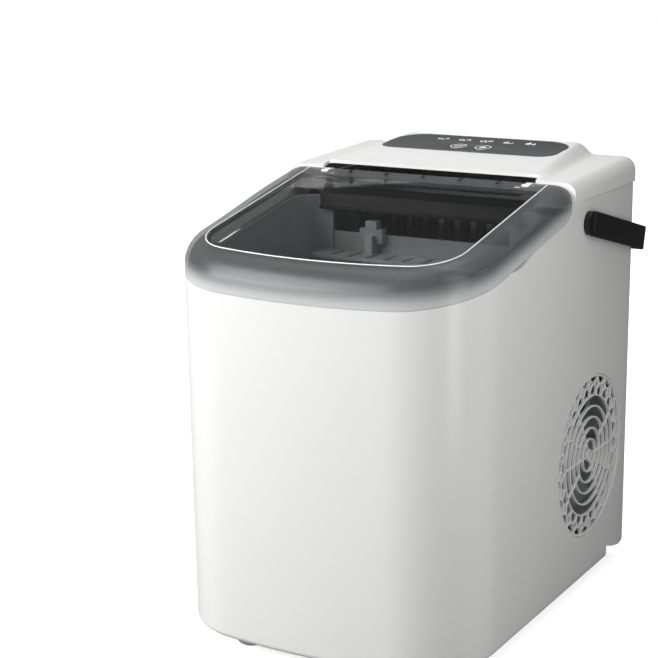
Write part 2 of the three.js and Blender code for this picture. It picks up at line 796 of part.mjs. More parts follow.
function controlOverlay() {
  const plate = raised(overlayOutline(0), -overlayThickness, 0, 5);
  const holes = buttonPlaces.map((x) => (
    rod('z', -overlayThickness - 1, 1, x, buttonSetback, buttonRadius + clearance, 32)
  ));
  return onPanel(cut(plate, ...holes));
}

function button(x) {
  const cap = rod('z', -buttonHeight / 2, buttonHeight / 4, x, buttonSetback, buttonRadius, 32);
  const stem = rod('z', -boardDrop + 1.5 + buttonTravel, -buttonHeight / 4, x, buttonSetback, 2.4, 12);
  return onPanel(cap.add(stem));
}

function controlBoard() {
  const board = block(-boardHalf, boardHalf, 1, panelLength - 1, -boardDrop - boardThickness, -boardDrop);
  const switches = buttonPlaces.map((x) => (
    block(x - 3, x + 3, buttonSetback - 3, buttonSetback + 3, -boardDrop - 0.5, -boardDrop + 1)
  ));
  const lamps = [-2, -1, 0, 1, 2].map((place) => block(
    place * 18 - 1.5, place * 18 + 1.5, panelLength - 14, panelLength - 11, -boardDrop - 0.5, -boardDrop + 1,
  ));
  return onPanel(joined(board, ...switches, ...lamps));
}

// ---------------------------------------------------------------- tub, foam and basket

const tubHalf = bodyHalf - tubInset;

/** The tub's inner plan, moved outwards by grow. */
function tubPlan(grow, rear = tubRearY) {
  return planOutline({
    half: tubHalf + grow,
    front: bodyFront + tubInset - grow,
    rear: rear + grow,
    corner: frontCornerRadius - tubInset + grow,
    rearCorner: tubCornerRadius + grow,
    bow: frontBowRadius - tubInset + grow,
  });
}

/** The tub's inner form moved outwards by grow: its rear wall leans forward below the chamber mouth. */
function tubBlock(grow) {
  const ring = (z, rear) => cornerPoints(tubPlan(grow, rear)).map(({ x, y }) => new THREE.Vector3(x, y, z));
  return lofted([
    ring(tubFloorZ - grow, tubLowerRearY),
    ring(tubStepLowZ, tubLowerRearY),
    ring(tubStepHighZ, tubRearY),
    ring(bodyHeight + 20, tubRearY),
  ], (point) => new THREE.Vector2(point.x, point.y));
}

function innerTub() {
  const chamber = (grow, high) => block(
    -chamberHalfWidth - grow, chamberHalfWidth + grow,
    tubRearY - 1, chamberRearY + grow,
    chamberFloorZ - grow, high,
  );
  const walls = tubBlock(tubWall);
  const flangeRear = lidRearY + 4.7;
  const flange = raisedFromSeam(bodyPlan(wall + clearance, flangeRear, 1), -wall - 0.5, -0.5);
  const rim = raisedFromSeam(tubPlan(tubWall), -wall, tubRimRise);
  const wallsToRim = walls.intersect(across(polygon([
    [bodyFront, 0],
    [tubRearY + tubWall + 1, 0],
    [tubRearY + tubWall + 1, seamZ(tubRearY + tubWall + 1)],
    [bodyFront, seamZ(bodyFront)],
  ]), -bodyHalf, bodyHalf));
  const box = joined(wallsToRim, flange, rim, chamber(tubWall, chamberTopZ));
  const hollow = tubBlock(0);
  const chamberHollow = chamber(0, chamberTopZ + 1)
    .intersect(block(-bodyHalf, bodyHalf, tubRearY + tubWall, bodyRear, 0, bodyHeight));
  const mouth = block(
    -mouthHalfWidth, mouthHalfWidth, tubRearY - 2, tubRearY + tubWall + 1, mouthSillZ, mouthLintelZ,
  );
  const rail = shovelRail();
  const shaftHoles = [-1, 1].map((side) => {
    const middle = side * (chamberHalfWidth + tubWall / 2);
    return rod('x', middle - tubWall, middle + tubWall, trayAxisY, trayAxisZ, shaftRadius + clearance, 16);
  });
  const lineHoles = linePorts.map((x) => (
    rod('y', chamberRearY - 1, chamberRearY + tubWall + 1, x, evaporatorZ, lineRadius + 1, 12)
  ));
  const sump = rod('z', tubFloorZ - tubWall - 1, tubFloorZ + 1, pumpX, pumpY, sumpRadius, 16);
  const drain = rod('z', tubFloorZ - tubWall - 1, tubFloorZ + 1, drainInletX, drainY, sumpRadius, 16);
  const sensorHoles = [-tubHalf, tubHalf].map((x) => (
    rod('x', x - tubWall - 1, x + tubWall + 1, sensorY, sensorZ, sensorLens + clearance, 12)
  ));
  const feed = rod('z', feedBottomZ, chamberFloorZ - 1, feedX, feedY, 5, 12);
  const feedBore = rod('z', feedBottomZ - 1, chamberFloorZ + 1, feedX, feedY, 3, 12);
  const hollowed = cut(box, hollow, chamberHollow, mouth);
  const holes = [feedBore, sump, drain, ...shaftHoles, ...lineHoles, ...sensorHoles];
  return cut(joined(hollowed, rail, feed), ...holes);
}

/** Ledges on the chamber's side walls that carry the ice shovel's arms. */
function shovelRail() {
  const inner = shovelArmX - 3;
  const top = shovelZ - clearance;
  const [front, rear] = [tubRearY + tubWall - 0.5, shovelArmRearY + 2];
  const right = block(inner, chamberHalfWidth + 0.5, front, rear, top - 4, top);
  const left = block(-chamberHalfWidth - 0.5, -inner, front, rear, top - 4, top);
  return right.add(left);
}

/** Dark hood that hangs from the chamber's edge and shades the mouth. */
function chamberHood() {
  const half = chamberHalfWidth - 2;
  const front = tubRearY - clearance - hoodDepth;
  const top = seamZ(tubRearY + tubWall) + tubRimRise + 1;
  const plate = block(-half, half, front, tubRearY - clearance, mouthLintelZ, top + 2);
  const shelf = block(-half, half, front, chamberRearY / 2, top, top + 2);
  const lip = block(-half, half, front - 1.5, front + 1, mouthLintelZ, mouthLintelZ + 2.5);
  return joined(plate, shelf, lip);
}

function tubFoam() {
  const outerPlan = bodyPlan(wall + clearance, tubLowerRearY + tubWall + foamBottom, tubCornerRadius);
  const top = (gap) => seamZ(bodyFront) - wall - gap - 1;
  const outer = raised(outerPlan, tubFloorZ - tubWall - foamGap - foamBottom, top(1));
  const inner = tubBlock(tubWall + foamGap);
  const chamberRoom = block(
    -chamberHalfWidth - tubWall - foamGap, chamberHalfWidth + tubWall + foamGap,
    tubRearY, bodyRear, chamberFloorZ - tubWall - foamGap, bodyHeight,
  );
  const sump = rod('z', 0, tubFloorZ + 1, pumpX, pumpY, sumpRadius + 3, 16);
  const drain = rod('z', 0, tubFloorZ + 1, drainInletX, drainY, sumpRadius + 3, 16);
  const sensors = [-1, 1].map((side) => rod(
    'x', side * (tubHalf + 6) - 8, side * (tubHalf + 6) + 8, sensorY, sensorZ, sensorLens + 4, 12,
  ));
  return cut(outer, inner, chamberRoom, sump, drain, ...sensors);
}

function iceBasket() {
  const plan = (inset) => planOutline({
    half: tubHalf - basketInset - inset,
    front: bodyFront + tubInset + basketInset + inset,
    rear: tubLowerRearY - basketRearGap - inset,
    corner: basketCorner - inset,
    rearCorner: tubCornerRadius - inset,
    bow: frontBowRadius - inset,
  });
  const outer = raised(plan(0), basketBottomZ, basketTopZ, 5);
  const inner = raised(plan(basketWall), basketBottomZ + basketWall, basketTopZ + 1, 5);
  const slots = [];
  for (let column = -3; column <= 3; column += 1) {
    const x = column * 20;
    slots.push(block(x - 4, x + 4, -105, -25, basketBottomZ - 1, basketBottomZ + basketWall + 1));
  }
  const gripHole = block(-28, 28, bodyFront, bodyFront + 50, basketTopZ - 26, basketTopZ - 12);
  return cut(outer, inner, gripHole, ...slots);
}

/** Ledges on the tub floor that the basket stands on. */
function basketStand() {
  const legs = [-1, 1].map((side) => block(
    side * (tubHalf - 30) - 4, side * (tubHalf - 30) + 4,
    bodyFront + 60, tubRearY - 30, tubFloorZ + clearance, basketBottomZ - clearance,
  ));
  const bridge = block(
    -tubHalf + 30, tubHalf - 30, bodyFront + 60, bodyFront + 68,
    tubFloorZ + clearance, tubFloorZ + 6,
  );
  return joined(bridge, ...legs);
}

// ---------------------------------------------------------------- evaporator, tray and shovel

const evaporatorZ = trayAxisZ + trayRadius + trayWall + 2 + evaporatorBarHeight / 2;
const linePorts = [-44, 44];

function evaporator() {
  const low = evaporatorZ - evaporatorBarHeight / 2;
  const high = evaporatorZ + evaporatorBarHeight / 2;
  const halfBar = ((fingerCount - 1) / 2) * fingerPitch + fingerRadius + 2;
  const bar = block(
    -halfBar, halfBar, trayAxisY - evaporatorBarDepth / 2, trayAxisY + evaporatorBarDepth / 2, low, high,
  );
  const hangerHalf = chamberHalfWidth - clearance;
  const hanger = block(-hangerHalf, hangerHalf, trayAxisY - 3, trayAxisY + 3, high - 2, high + 1);
  const fingers = [];
  for (let place = 0; place < fingerCount; place += 1) {
    const x = (place - (fingerCount - 1) / 2) * fingerPitch;
    fingers.push(rod('z', low - fingerLength, low + 1, x, trayAxisY, fingerRadius * 0.7, 12, fingerRadius));
  }
  const stubs = linePorts.map((x) => (
    rod('y', trayAxisY + evaporatorBarDepth / 2 - 1, chamberRearY - 8, x, evaporatorZ, lineRadius, 10)
  ));
  return joined(bar, hanger, ...fingers, ...stubs);
}

function waterTray() {
  const arc = (radius) => {
    const shape = new THREE.Shape();
    shape.absarc(trayAxisY, trayAxisZ, radius, Math.PI, 2 * Math.PI, false);
    return shape;
  };
  const end = trayWall;
  const outer = across(arc(trayRadius + trayWall), -trayHalfLength - end, trayHalfLength + end, 10);
  const inner = across(arc(trayRadius), -trayHalfLength, trayHalfLength, 10);
  const lift = block(
    -trayHalfLength, trayHalfLength,
    trayAxisY - trayRadius, trayAxisY + trayRadius,
    trayAxisZ - 1, trayAxisZ + 1,
  );
  const ears = [-trayHalfLength - end, trayHalfLength].map((x) => (
    rod('x', x, x + end, trayAxisY, trayAxisZ, 7, 16)
  ));
  const pivot = rod(
    'x', -chamberHalfWidth - tubWall, -trayHalfLength - end / 2, trayAxisY, trayAxisZ, shaftRadius, 16,
  );
  const socketStart = trayHalfLength - 1;
  const socket = rod('x', socketStart, socketStart + 13, trayAxisY, trayAxisZ, shaftRadius + 2, 16);
  const boreStart = socketStart + 4;
  const bore = rod('x', boreStart, boreStart + 10, trayAxisY, trayAxisZ, shaftRadius + clearance, 16);
  return joined(cut(outer, inner, lift), ...ears, pivot, socket).subtract(bore);
}

function trayShaft() {
  const tip = trayHalfLength + 3 + clearance;
  return rod('x', tip, chamberHalfWidth + tubWall + 3, trayAxisY, trayAxisZ, shaftRadius, 16);
}

function trayMotor() {
  const face = chamberHalfWidth + tubWall + clearance;
  const body = block(
    face, face + motorWidth, trayAxisY - motorSize / 2, trayAxisY + motorSize / 2,
    trayAxisZ - motorSize / 2, trayAxisZ + motorSize / 2,
  );
  const tail = rod('x', face + motorWidth - 1, face + motorWidth + 3, trayAxisY, trayAxisZ, 9, 20);
  const bore = rod('x', face - 1, face + 4, trayAxisY, trayAxisZ, shaftRadius + clearance, 16);
  return cut(body.add(tail), bore);
}

/** Slotted shelf with a riser behind it, which slides forward and pushes the ice into the basket. */
function iceShovel() {
  const top = shovelZ + shovelThickness;
  const outline = new THREE.Shape();
  const corner = 10;
  outline.moveTo(-shovelHalfWidth, shovelRearY - corner);
  outline.lineTo(-shovelHalfWidth, shovelFrontY + corner);
  outline.quadraticCurveTo(-shovelHalfWidth, shovelFrontY, corner - shovelHalfWidth, shovelFrontY);
  outline.lineTo(shovelHalfWidth - corner, shovelFrontY);
  outline.quadraticCurveTo(shovelHalfWidth, shovelFrontY, shovelHalfWidth, shovelFrontY + corner);
  outline.lineTo(shovelHalfWidth, shovelRearY - corner);
  outline.lineTo(shovelRiserHalf, tubRearY - 2);
  outline.lineTo(shovelRiserHalf, shovelRearY);
  outline.lineTo(-shovelRiserHalf, shovelRearY);
  outline.lineTo(-shovelRiserHalf, tubRearY - 2);
  const plate = raised(outline, shovelZ, top, 3);
  const riserFront = shovelRearY - 2.2;
  const riser = block(
    -shovelRiserHalf, shovelRiserHalf, riserFront, shovelRearY, shovelZ, shovelZ + shovelRiserHeight,
  );
  const riserTop = shovelZ + shovelRiserHeight;
  const lug = [[9, 0], [4.5, lugHeight * 0.6]].map(([half, low]) => block(
    lugX - half, lugX + half, riserFront - 5, shovelRearY - 0.5,
    riserTop + low - 6, riserTop + low + lugHeight * 0.5,
  ));
  const web = block(lugX - 3, lugX + 3, riserFront - 9, riserFront + 1, shovelZ + 1, riserTop);
  const arms = [-1, 1].map((side) => block(
    side * shovelArmX - 1.5, side * shovelArmX + 1.5, shovelRearY - 1, shovelArmRearY,
    shovelZ, shovelZ + shovelArmHeight,
  ));
  const slots = [];
  for (let place = 0; place < shovelSlotCount; place += 1) {
    const x = (place - (shovelSlotCount - 1) / 2) * shovelSlotPitch;
    const half = shovelSlotWidth / 2;
    const slotFront = shovelFrontY + 3;
    slots.push(block(x - half, x + half, slotFront, slotFront + shovelSlotLength - 4, shovelZ - 1, top + 1));
  }
  return joined(cut(plate, ...slots), riser, web, ...lug, ...arms);
}

const sensorY = tubRearY - 32;
const sensorZ = basketTopZ + 6;
const sensorLens = 3;

function iceSensor(side) {
  const face = tubHalf + tubWall + clearance;
  const lens = rod('x', tubHalf - 0.5, face + 2, sensorY, sensorZ, sensorLens, 12);
  const back = rod('x', face, face + 5, sensorY, sensorZ, sensorLens + 3, 12);
  const sensor = lens.add(back);
  return side > 0 ? sensor : sensor.mirror([1, 0, 0]);
}

// ---------------------------------------------------------------- water circuit

const pumpX = 30;
const pumpY = tubRearY - 40;
const sumpRadius = 5;
const drainInletX = -60;
const pumpTopZ = 44;
const floorTopZ = trayFloorZ + trayFloorThickness;
const heelFloorZ = heelRise + wall + clearance + trayFloorThickness;
const heelStartY = bodyRear - heelLength - wall - clearance - trayFloorThickness;
const feedX = 8;
const feedY = tubRearY + 16;
const feedBottomZ = chamberFloorZ - tubWall - 5;
/** Height of the base's floor under a piece that reaches back to y. */
const floorUnder = (y) => (y > heelStartY - 1 ? heelFloorZ : floorTopZ) + clearance;

function waterPump() {
  const body = rod('z', floorTopZ + clearance, pumpTopZ, pumpX, pumpY, 17, 24);
  const inlet = rod('z', pumpTopZ - 1, tubFloorZ - 0.5, pumpX, pumpY, sumpRadius - clearance, 16);
  const outlet = rod('y', pumpY + 14, pumpY + 26, pumpX, pumpTopZ - 10, 4, 12);
  return joined(body, inlet, outlet);
}

function pumpHose() {
  const z = pumpTopZ - 10;
  return pipe([
    [pumpX, pumpY + 26 + clearance, z],
    [pumpX, pumpY + 34, z],
    [pumpX - 2, tubRearY + 2, tubFloorZ - 6],
    [pumpX - 10, tubRearY + 6, feedBottomZ - 60],
    [feedX, feedY - 4, feedBottomZ - 20],
    [feedX, feedY, feedBottomZ - 6],
    [feedX, feedY, feedBottomZ - clearance],
  ], 4, 18);
}

function drainFitting() {
  const inner = -bodyHalf + wall + clearance;
  const flange = rod('x', inner, inner + 2, drainY, drainZ, drainRadius + 4, 24);
  const sleeve = rod('x', -bodyHalf, inner + 6, drainY, drainZ, drainRadius, 24);
  const spigot = rod('x', inner + 5, inner + 16, drainY, drainZ, 5, 16);
  const bore = rod('x', -bodyHalf - 1, inner + 4, drainY, drainZ, drainRadius - 2, 24);
  const through = rod('x', -bodyHalf - 1, inner + 17, drainY, drainZ, 3, 12);
  return cut(joined(flange, sleeve, spigot), bore, through);
}

function drainPlug() {
  const bore = drainRadius - 2 - clearance;
  const cap = rod('x', -bodyHalf - 3.5, -bodyHalf - clearance, drainY, drainZ, drainRadius + 1.5, 28);
  const plug = rod('x', -bodyHalf - 1, -bodyHalf + 4, drainY, drainZ, bore, 24);
  const grip = block(-bodyHalf - 5, -bodyHalf - 3, drainY - 1.5, drainY + 1.5, drainZ - 8, drainZ + 8);
  return joined(cap, plug, grip);
}

function drainHose() {
  const spigotEnd = -bodyHalf + wall + clearance + 16;
  return pipe([
    [spigotEnd + clearance, drainY, drainZ],
    [spigotEnd + 12, drainY, drainZ],
    [drainInletX - 6, drainY, drainZ + 5],
    [drainInletX, drainY, drainZ + 14],
    [drainInletX, drainY, tubFloorZ - tubWall - clearance],
  ], 4.5, 12);
}

// ---------------------------------------------------------------- cooling circuit

const compressorBottom = floorTopZ + mountHeight + clearance;
const compressorTop = compressorBottom + compressorHeight;
const stubTop = compressorTop + 8;
const mountAngles = [90, 210, 330];
const mountCircle = compressorRadius - 4;

function compressor() {
  const r = compressorRadius;
  const h = compressorHeight;
  const can = turned([
    [0, 4],
    [r * 0.6, 4],
    [r * 0.88, 9],
    [r - 1.5, 20],
    [r - 1.5, h * 0.55],
    [r, h * 0.55],
    [r, h * 0.6],
    [r - 1.5, h * 0.6],
    [r - 1.5, h - 26],
    [r * 0.88, h - 12],
    [r * 0.6, h - 4],
    [0, h],
  ], 20).translate([compressorX, compressorY, compressorBottom]);
  const plate = rod(
    'z', compressorBottom, compressorBottom + 5, compressorX, compressorY, mountCircle + mountRadius - 2, 6,
  );
  const stubs = [-15, 15].map((shift) => (
    rod('z', compressorTop - 12, stubTop, compressorX + shift, compressorY, lineRadius + 0.5, 12)
  ));
  return joined(can, plate, ...stubs);
}

function compressorMount(angle) {
  const x = compressorX + mountCircle * Math.cos(angle * degrees);
  const y = compressorY + mountCircle * Math.sin(angle * degrees);
  const low = floorUnder(y + mountRadius);
  return turned([
    [0, low],
    [mountRadius, low],
    [mountRadius - 1.5, (low + compressorBottom) / 2],
    [mountRadius, compressorBottom - clearance],
    [0, compressorBottom - clearance],
  ], 16).translate([x, y, 0]);
}

const shroudFace = bodyHalf - fanToWall - fanDepth - 14;
const condenserX1 = shroudFace - 2 * clearance;
const condenserX0 = condenserX1 - condenserThickness;
const condenserBottom = fanZ - condenserHeight / 2;
const condenserTop = fanZ + condenserHeight / 2;
const condenserY0 = fanY - condenserLength / 2;
const condenserY1 = fanY + condenserLength / 2;

/** Finned block with end plates and return bends. */
function condenser() {
  const finPitch = (condenserLength - 8) / condenserFins;
  const core = block(
    (condenserX0 + condenserX1) / 2 - 2, (condenserX0 + condenserX1) / 2 + 2,
    condenserY0 + 1, condenserY1 - 1, condenserBottom + 3, condenserTop - 3,
  );
  const fins = [];
  for (let fin = 0; fin <= condenserFins; fin += 1) {
    const y = condenserY0 + 4 + fin * finPitch;
    fins.push(block(condenserX0 + 1, condenserX1 - 1, y - 0.6, y + 0.6, condenserBottom, condenserTop - 1));
  }
  const ends = [condenserY0, condenserY1 - 1.5].map((y) => (
    block(condenserX0, condenserX1, y, y + 1.5, floorUnder(y + 1.5), condenserTop)
  ));
  const stubs = [condenserY0 + 14, condenserY1 - 14].map((y) => (
    rod('z', condenserTop - 8, condenserTop + 6, (condenserX0 + condenserX1) / 2, y, lineRadius, 12)
  ));
  return joined(core, ...stubs, ...fins, ...ends);
}

/** Square plate with a round duct, on feet, and a spider that carries the motor. */
function fanShroud() {
  const half = shroudSize / 2;
  const innerFace = shroudFace;
  const ductEnd = bodyHalf - grilleRecess - grilleThickness - clearance;
  const plate = block(innerFace, innerFace + shroudWall, fanY - half, fanY + half, fanZ - half, fanZ + half);
  const ring = rod('x', innerFace, ductEnd, fanY, fanZ, fanRadius + 3 + shroudWall, 32);
  const bore = rod('x', innerFace - 1, ductEnd + 1, fanY, fanZ, fanRadius + 3, 32);
  const spider = [0, 60, 120].map((angle) => (
    block(innerFace, innerFace + shroudWall, -fanRadius - 4, fanRadius + 4, -3, 3)
      .rotate([angle, 0, 0])
      .translate([0, fanY, fanZ])
  ));
  const hub = rod('x', innerFace, innerFace + shroudWall, fanY, fanZ, fanHubRadius, 16);
  const legs = [-1, 1].map((side) => {
    const y = fanY + side * (half - 12);
    return block(innerFace, innerFace + 8, y - 5, y + 5, floorUnder(y + 5), fanZ - half + 2);
  });
  return joined(cut(plate.add(ring), bore), hub, ...spider, ...legs);
}

const motorFace = shroudFace + shroudWall + clearance;
const rotorFace = bodyHalf - fanToWall - fanDepth;

function fanMotor() {
  const can = rod('x', motorFace, rotorFace - 3, fanY, fanZ, fanHubRadius - 2, 24);
  const axle = rod('x', rotorFace - 4, rotorFace + fanDepth - 4, fanY, fanZ, 1.5, 12);
  return can.add(axle);
}

function fanRotor() {
  const hub = rod('x', rotorFace, rotorFace + fanDepth, fanY, fanZ, fanHubRadius, 20);
  const bore = rod('x', rotorFace - 1, rotorFace + fanDepth - 3, fanY, fanZ, 1.5 + clearance, 12);
  const blades = [];
  for (let blade = 0; blade < fanBlades; blade += 1) {
    const shape = new THREE.Shape();
    const sweep = 0.62;
    const root = fanHubRadius - 2;
    shape.moveTo(root * Math.cos(-0.3), root * Math.sin(-0.3));
    shape.quadraticCurveTo(fanRadius * 0.6, -2, fanRadius * Math.cos(0.1), fanRadius * Math.sin(0.1));
    shape.absarc(0, 0, fanRadius, 0.1, 0.1 + sweep, false);
    shape.quadraticCurveTo(fanRadius * 0.52, fanRadius * 0.34, root * Math.cos(0.5), root * Math.sin(0.5));
    const flat = new THREE.ExtrudeGeometry(shape, { depth: 1.6, bevelEnabled: false, curveSegments: 4 });
    const pitchAxis = new THREE.Vector3(1, 0.3, 0).normalize();
    flat.applyMatrix4(new THREE.Matrix4().makeRotationAxis(pitchAxis, fanBladePitch * degrees));
    flat.rotateZ((blade / fanBlades) * 2 * Math.PI);
    flat.rotateY(Math.PI / 2);
    blades.push(solid(flat.translate(rotorFace + fanDepth / 2, fanY, fanZ)));
  }
  const sweptRoom = rod('x', rotorFace - 1, rotorFace + fanDepth + 1, fanY, fanZ, fanRadius, 36);
  return cut(joined(hub, ...blades).intersect(sweptRoom), bore);
}

/** Path through points given by radius and angle. */
function polarPath(points) {
  const path = new THREE.Path();
  points.forEach(([radius, angle], index) => {
    const point = [radius * Math.cos(angle), radius * Math.sin(angle)];
    if (index === 0) path.moveTo(...point);
    else path.lineTo(...point);
  });
  path.closePath();
  return path;
}

/** Outline of an arched slot between two radii, from one spoke to the next. */
function archedSlot(inner, outer, from, to) {
  const rib = grilleRibWidth / 2;
  const side = (radius, steps) => Array.from({ length: steps + 1 }, (_, step) => {
    const start = from + Math.asin(rib / radius);
    const end = to - Math.asin(rib / radius);
    return [radius, start + ((end - start) * step) / steps];
  });
  const steps = Math.max(2, Math.round((to - from) / (degrees * (outer > grilleRings[3] ? 9 : 14))));
  return polarPath([...side(outer, steps), ...side(inner, steps).reverse()]);
}

/** Outlines of one pitch of the honeycomb: an outer cell, a diamond beside it and an inner cell. */
function cellHoles(angle) {
  const rib = grilleRibWidth / 2;
  const pitch = (2 * Math.PI) / cellCount;
  const [high, low] = [cellMidRadius + cellReach, cellMidRadius - cellReach];
  const rim = grilleRadius - grilleRimWidth;
  const ring = grilleRings.at(-1) + rib;
  const away = (radius, distance) => distance / radius;
  const outerCell = [-1, 1].map((side) => [
    [rim, angle + side * (pitch / 2 - away(rim, rib))],
    [high + rib * 0.5, angle + side * (pitch / 2 - away(high, rib))],
    [cellMidRadius + rib, angle + side * away(cellMidRadius, cellFlatHalf - rib * 0.2)],
  ]);
  const innerCell = [-1, 1].map((side) => [
    [ring, angle + side * (pitch / 2 - away(ring, rib))],
    [low - rib * 0.5, angle + side * (pitch / 2 - away(low, rib))],
    [cellMidRadius - rib, angle + side * away(cellMidRadius, cellFlatHalf - rib * 0.2)],
  ]);
  const middle = angle + pitch / 2;
  const tip = pitch / 2 - away(cellMidRadius, cellFlatHalf + rib * 1.3);
  const diamond = [
    [high - rib * 1.4, middle],
    [cellMidRadius, middle + tip],
    [low + rib * 1.4, middle],
    [cellMidRadius, middle - tip],
  ];
  return [
    [...outerCell[0], ...outerCell[1].reverse()],
    [...innerCell[0], ...innerCell[1].reverse()],
    diamond,
  ].map(polarPath);
}

/** Round fan guard: arched slots between straight spokes, inside a honeycomb band. */
function fanGrille() {
  const disc = new THREE.Shape();
  disc.absarc(0, 0, grilleRadius, 0, 2 * Math.PI, false);
  for (let ring = 0; ring + 1 < grilleRings.length; ring += 1) {
    const inner = grilleRings[ring] + grilleRibWidth / 2;
    const outer = grilleRings[ring + 1] - grilleRibWidth / 2;
    const short = ring < grilleShortSpokeStart ? [] : grilleShortSpokes;
    const spokes = [...grilleLongSpokes, ...short];
    const turns = spokes.toSorted((one, other) => one - other).map((angle) => angle * degrees);
    turns.forEach((from, index) => {
      const to = turns[index + 1] ?? turns[0] + 2 * Math.PI;
      disc.holes.push(archedSlot(inner, outer, from, to));
    });
  }
  for (let cell = 0; cell < cellCount; cell += 1) {
    disc.holes.push(...cellHoles((cellFirstAngle + (360 * cell) / cellCount) * degrees));
  }
  const settings = { depth: grilleThickness, bevelEnabled: false, curveSegments: 24 };
  const plate = new THREE.ExtrudeGeometry(disc, settings);
  plate.applyMatrix4(sideways);
  return solid(plate.translate(bodyHalf - grilleRecess - grilleThickness, fanY, fanZ));
}

function dischargeLine() {
  const x = (condenserX0 + condenserX1) / 2;
  const y = condenserY0 + 14;
  const high = stubTop + 7;
  return pipe([
    [compressorX + 15, compressorY, stubTop + clearance],
    [compressorX + 15, compressorY, stubTop + 3],
    [compressorX + 22, compressorY + 5, high],
    [compressorX + 70, compressorY, high],
    [x - 4, y + 16, high],
    [x, y, high - 4],
    [x, y, condenserTop + 6 + clearance],
  ], lineRadius, 22, 6);
}

const drierX = (condenserX0 + condenserX1) / 2;
const drierY = condenserY1 - 14;

function filterDrier() {
  return turned([
    [0, 0],
    [3, 0],
    [3.5, 3],
    [7, 7],
    [7, 26],
    [3.5, 30],
    [2, 33],
    [0, 33],
  ], 14).translate([drierX, drierY, condenserTop + 6 + clearance]);
}

function suctionLine() {
  const x = linePorts[0];
  return pipe([
    [x, chamberRearY - 8 + clearance, evaporatorZ],
    [x, chamberRearY + 12, evaporatorZ],
    [x, chamberRearY + 18, evaporatorZ - 14],
    [x - lineRadius * 2, chamberRearY + 17, stubTop + 40],
    [compressorX - 15, compressorY + 18, stubTop + 8],
    [compressorX - 15, compressorY + 3, stubTop + 7],
    [compressorX - 15, compressorY, stubTop + 3],
    [compressorX - 15, compressorY, stubTop + clearance],
  ], lineRadius, 26, 6);
}

function capillaryLine() {
  const x = linePorts[1];
  const start = condenserTop + 6 + clearance + 33 + clearance;
  return pipe([
    [drierX, drierY, start],
    [drierX, drierY, start + 6],
    [x + 10, chamberRearY + 16, start + 34],
    [x, chamberRearY + 14, evaporatorZ - 14],
    [x, chamberRearY + 8, evaporatorZ],
    [x, chamberRearY - 8 + clearance, evaporatorZ],
  ], lineRadius / 2, 22, 6);
}

// ---------------------------------------------------------------- handle, electrics and fittings

const armInner = bodyHalf + handleStandOff;
const armOuter = armInner + handleArmThickness;
const hubFace = armOuter - hubRecess;

/** Carry handle in its own frame: pivots on X at the origin, arms running back along +Y. */
function carryHandle() {
  const half = handleWidth / 2;
  const outer = raised(handleOutline(armOuter, handleReach, handleCorner, 0), -half, half);
  const gap = handleOutline(armInner, handleReach - handleGripThickness, handleCorner / 2, handleWidth);
  const inner = raised(gap, -half - 1, half + 1);
  const hubs = [-1, 1].map((side) => {
    const [near, far] = [side * (bodyHalf + clearance), side * (armInner + 1)];
    return rod('x', Math.min(near, far), Math.max(near, far), 0, 0, half - 0.5, 20);
  });
  const ends = [-1, 1].map((side) => {
    const [x0, x1] = side > 0 ? [armInner, hubFace] : [-hubFace, -armInner];
    return rod('x', x0, x1, 0, 0, half, 20);
  });
  const boreEnd = hubFace - hubCap;
  const bores = [-1, 1].map((side) => {
    const [x0, x1] = side > 0 ? [bodyHalf - 1, boreEnd] : [-boreEnd, 1 - bodyHalf];
    return rod('x', x0, x1, 0, 0, handlePinRadius + clearance, 20);
  });
  return cut(joined(cut(outer, inner), ...hubs, ...ends), ...bores)
    .rotate([-handleDroop, 0, 0])
    .translate([0, handleY, handleZ]);
}

/** The handle's plan, from start ahead of the pivots back to its reach, with round rear corners. */
function handleOutline(half, reach, corner, start) {
  const shape = new THREE.Shape();
  shape.moveTo(-half, -start);
  shape.lineTo(half, -start);
  shape.lineTo(half, reach - corner);
  shape.absarc(half - corner, reach - corner, corner, 0, Math.PI / 2, false);
  shape.lineTo(corner - half, reach);
  shape.absarc(corner - half, reach - corner, corner, Math.PI / 2, Math.PI, false);
  return shape;
}

function handlePivot(side) {
  const flangeFace = bodyHalf - wall - clearance;
  const flange = rod('x', flangeFace - 3, flangeFace, handleY, handleZ, handlePinRadius + 4, 20);
  const pin = rod('x', flangeFace - 1, hubFace - hubCap - clearance, handleY, handleZ, handlePinRadius, 20);
  const pivot = flange.add(pin);
  return side > 0 ? pivot : pivot.mirror([1, 0, 0]);
}

const powerBoardZ = floorTopZ + 8;
const powerBoardHalf = chamberHalfWidth - 26;
const powerBoardFront = bodyFront + 26;
const powerBoardDepth = 58;
const boardPostInset = 6;
const boardPostPlaces = [-1, 1].flatMap((side) => [boardPostInset, powerBoardDepth - boardPostInset].map(
  (depth) => [side * (powerBoardHalf - boardPostInset), powerBoardFront + depth],
));

function powerBoard() {
  const front = powerBoardFront;
  const board = block(
    -powerBoardHalf, powerBoardHalf, front, front + powerBoardDepth,
    powerBoardZ, powerBoardZ + boardThickness,
  );
  const transformer = block(
    14 - powerBoardHalf, 40 - powerBoardHalf, front + 12, front + 42, powerBoardZ + 1, powerBoardZ + 22,
  );
  const relays = [0, 1, 2].map((place) => block(
    place * 17, place * 17 + 12, front + 34, front + 50, powerBoardZ + 1, powerBoardZ + 14,
  ));
  const capacitor = rod('z', powerBoardZ + 1, powerBoardZ + 20, 12, front + 18, 7, 16);
  return joined(board, transformer, capacitor, ...relays);
}

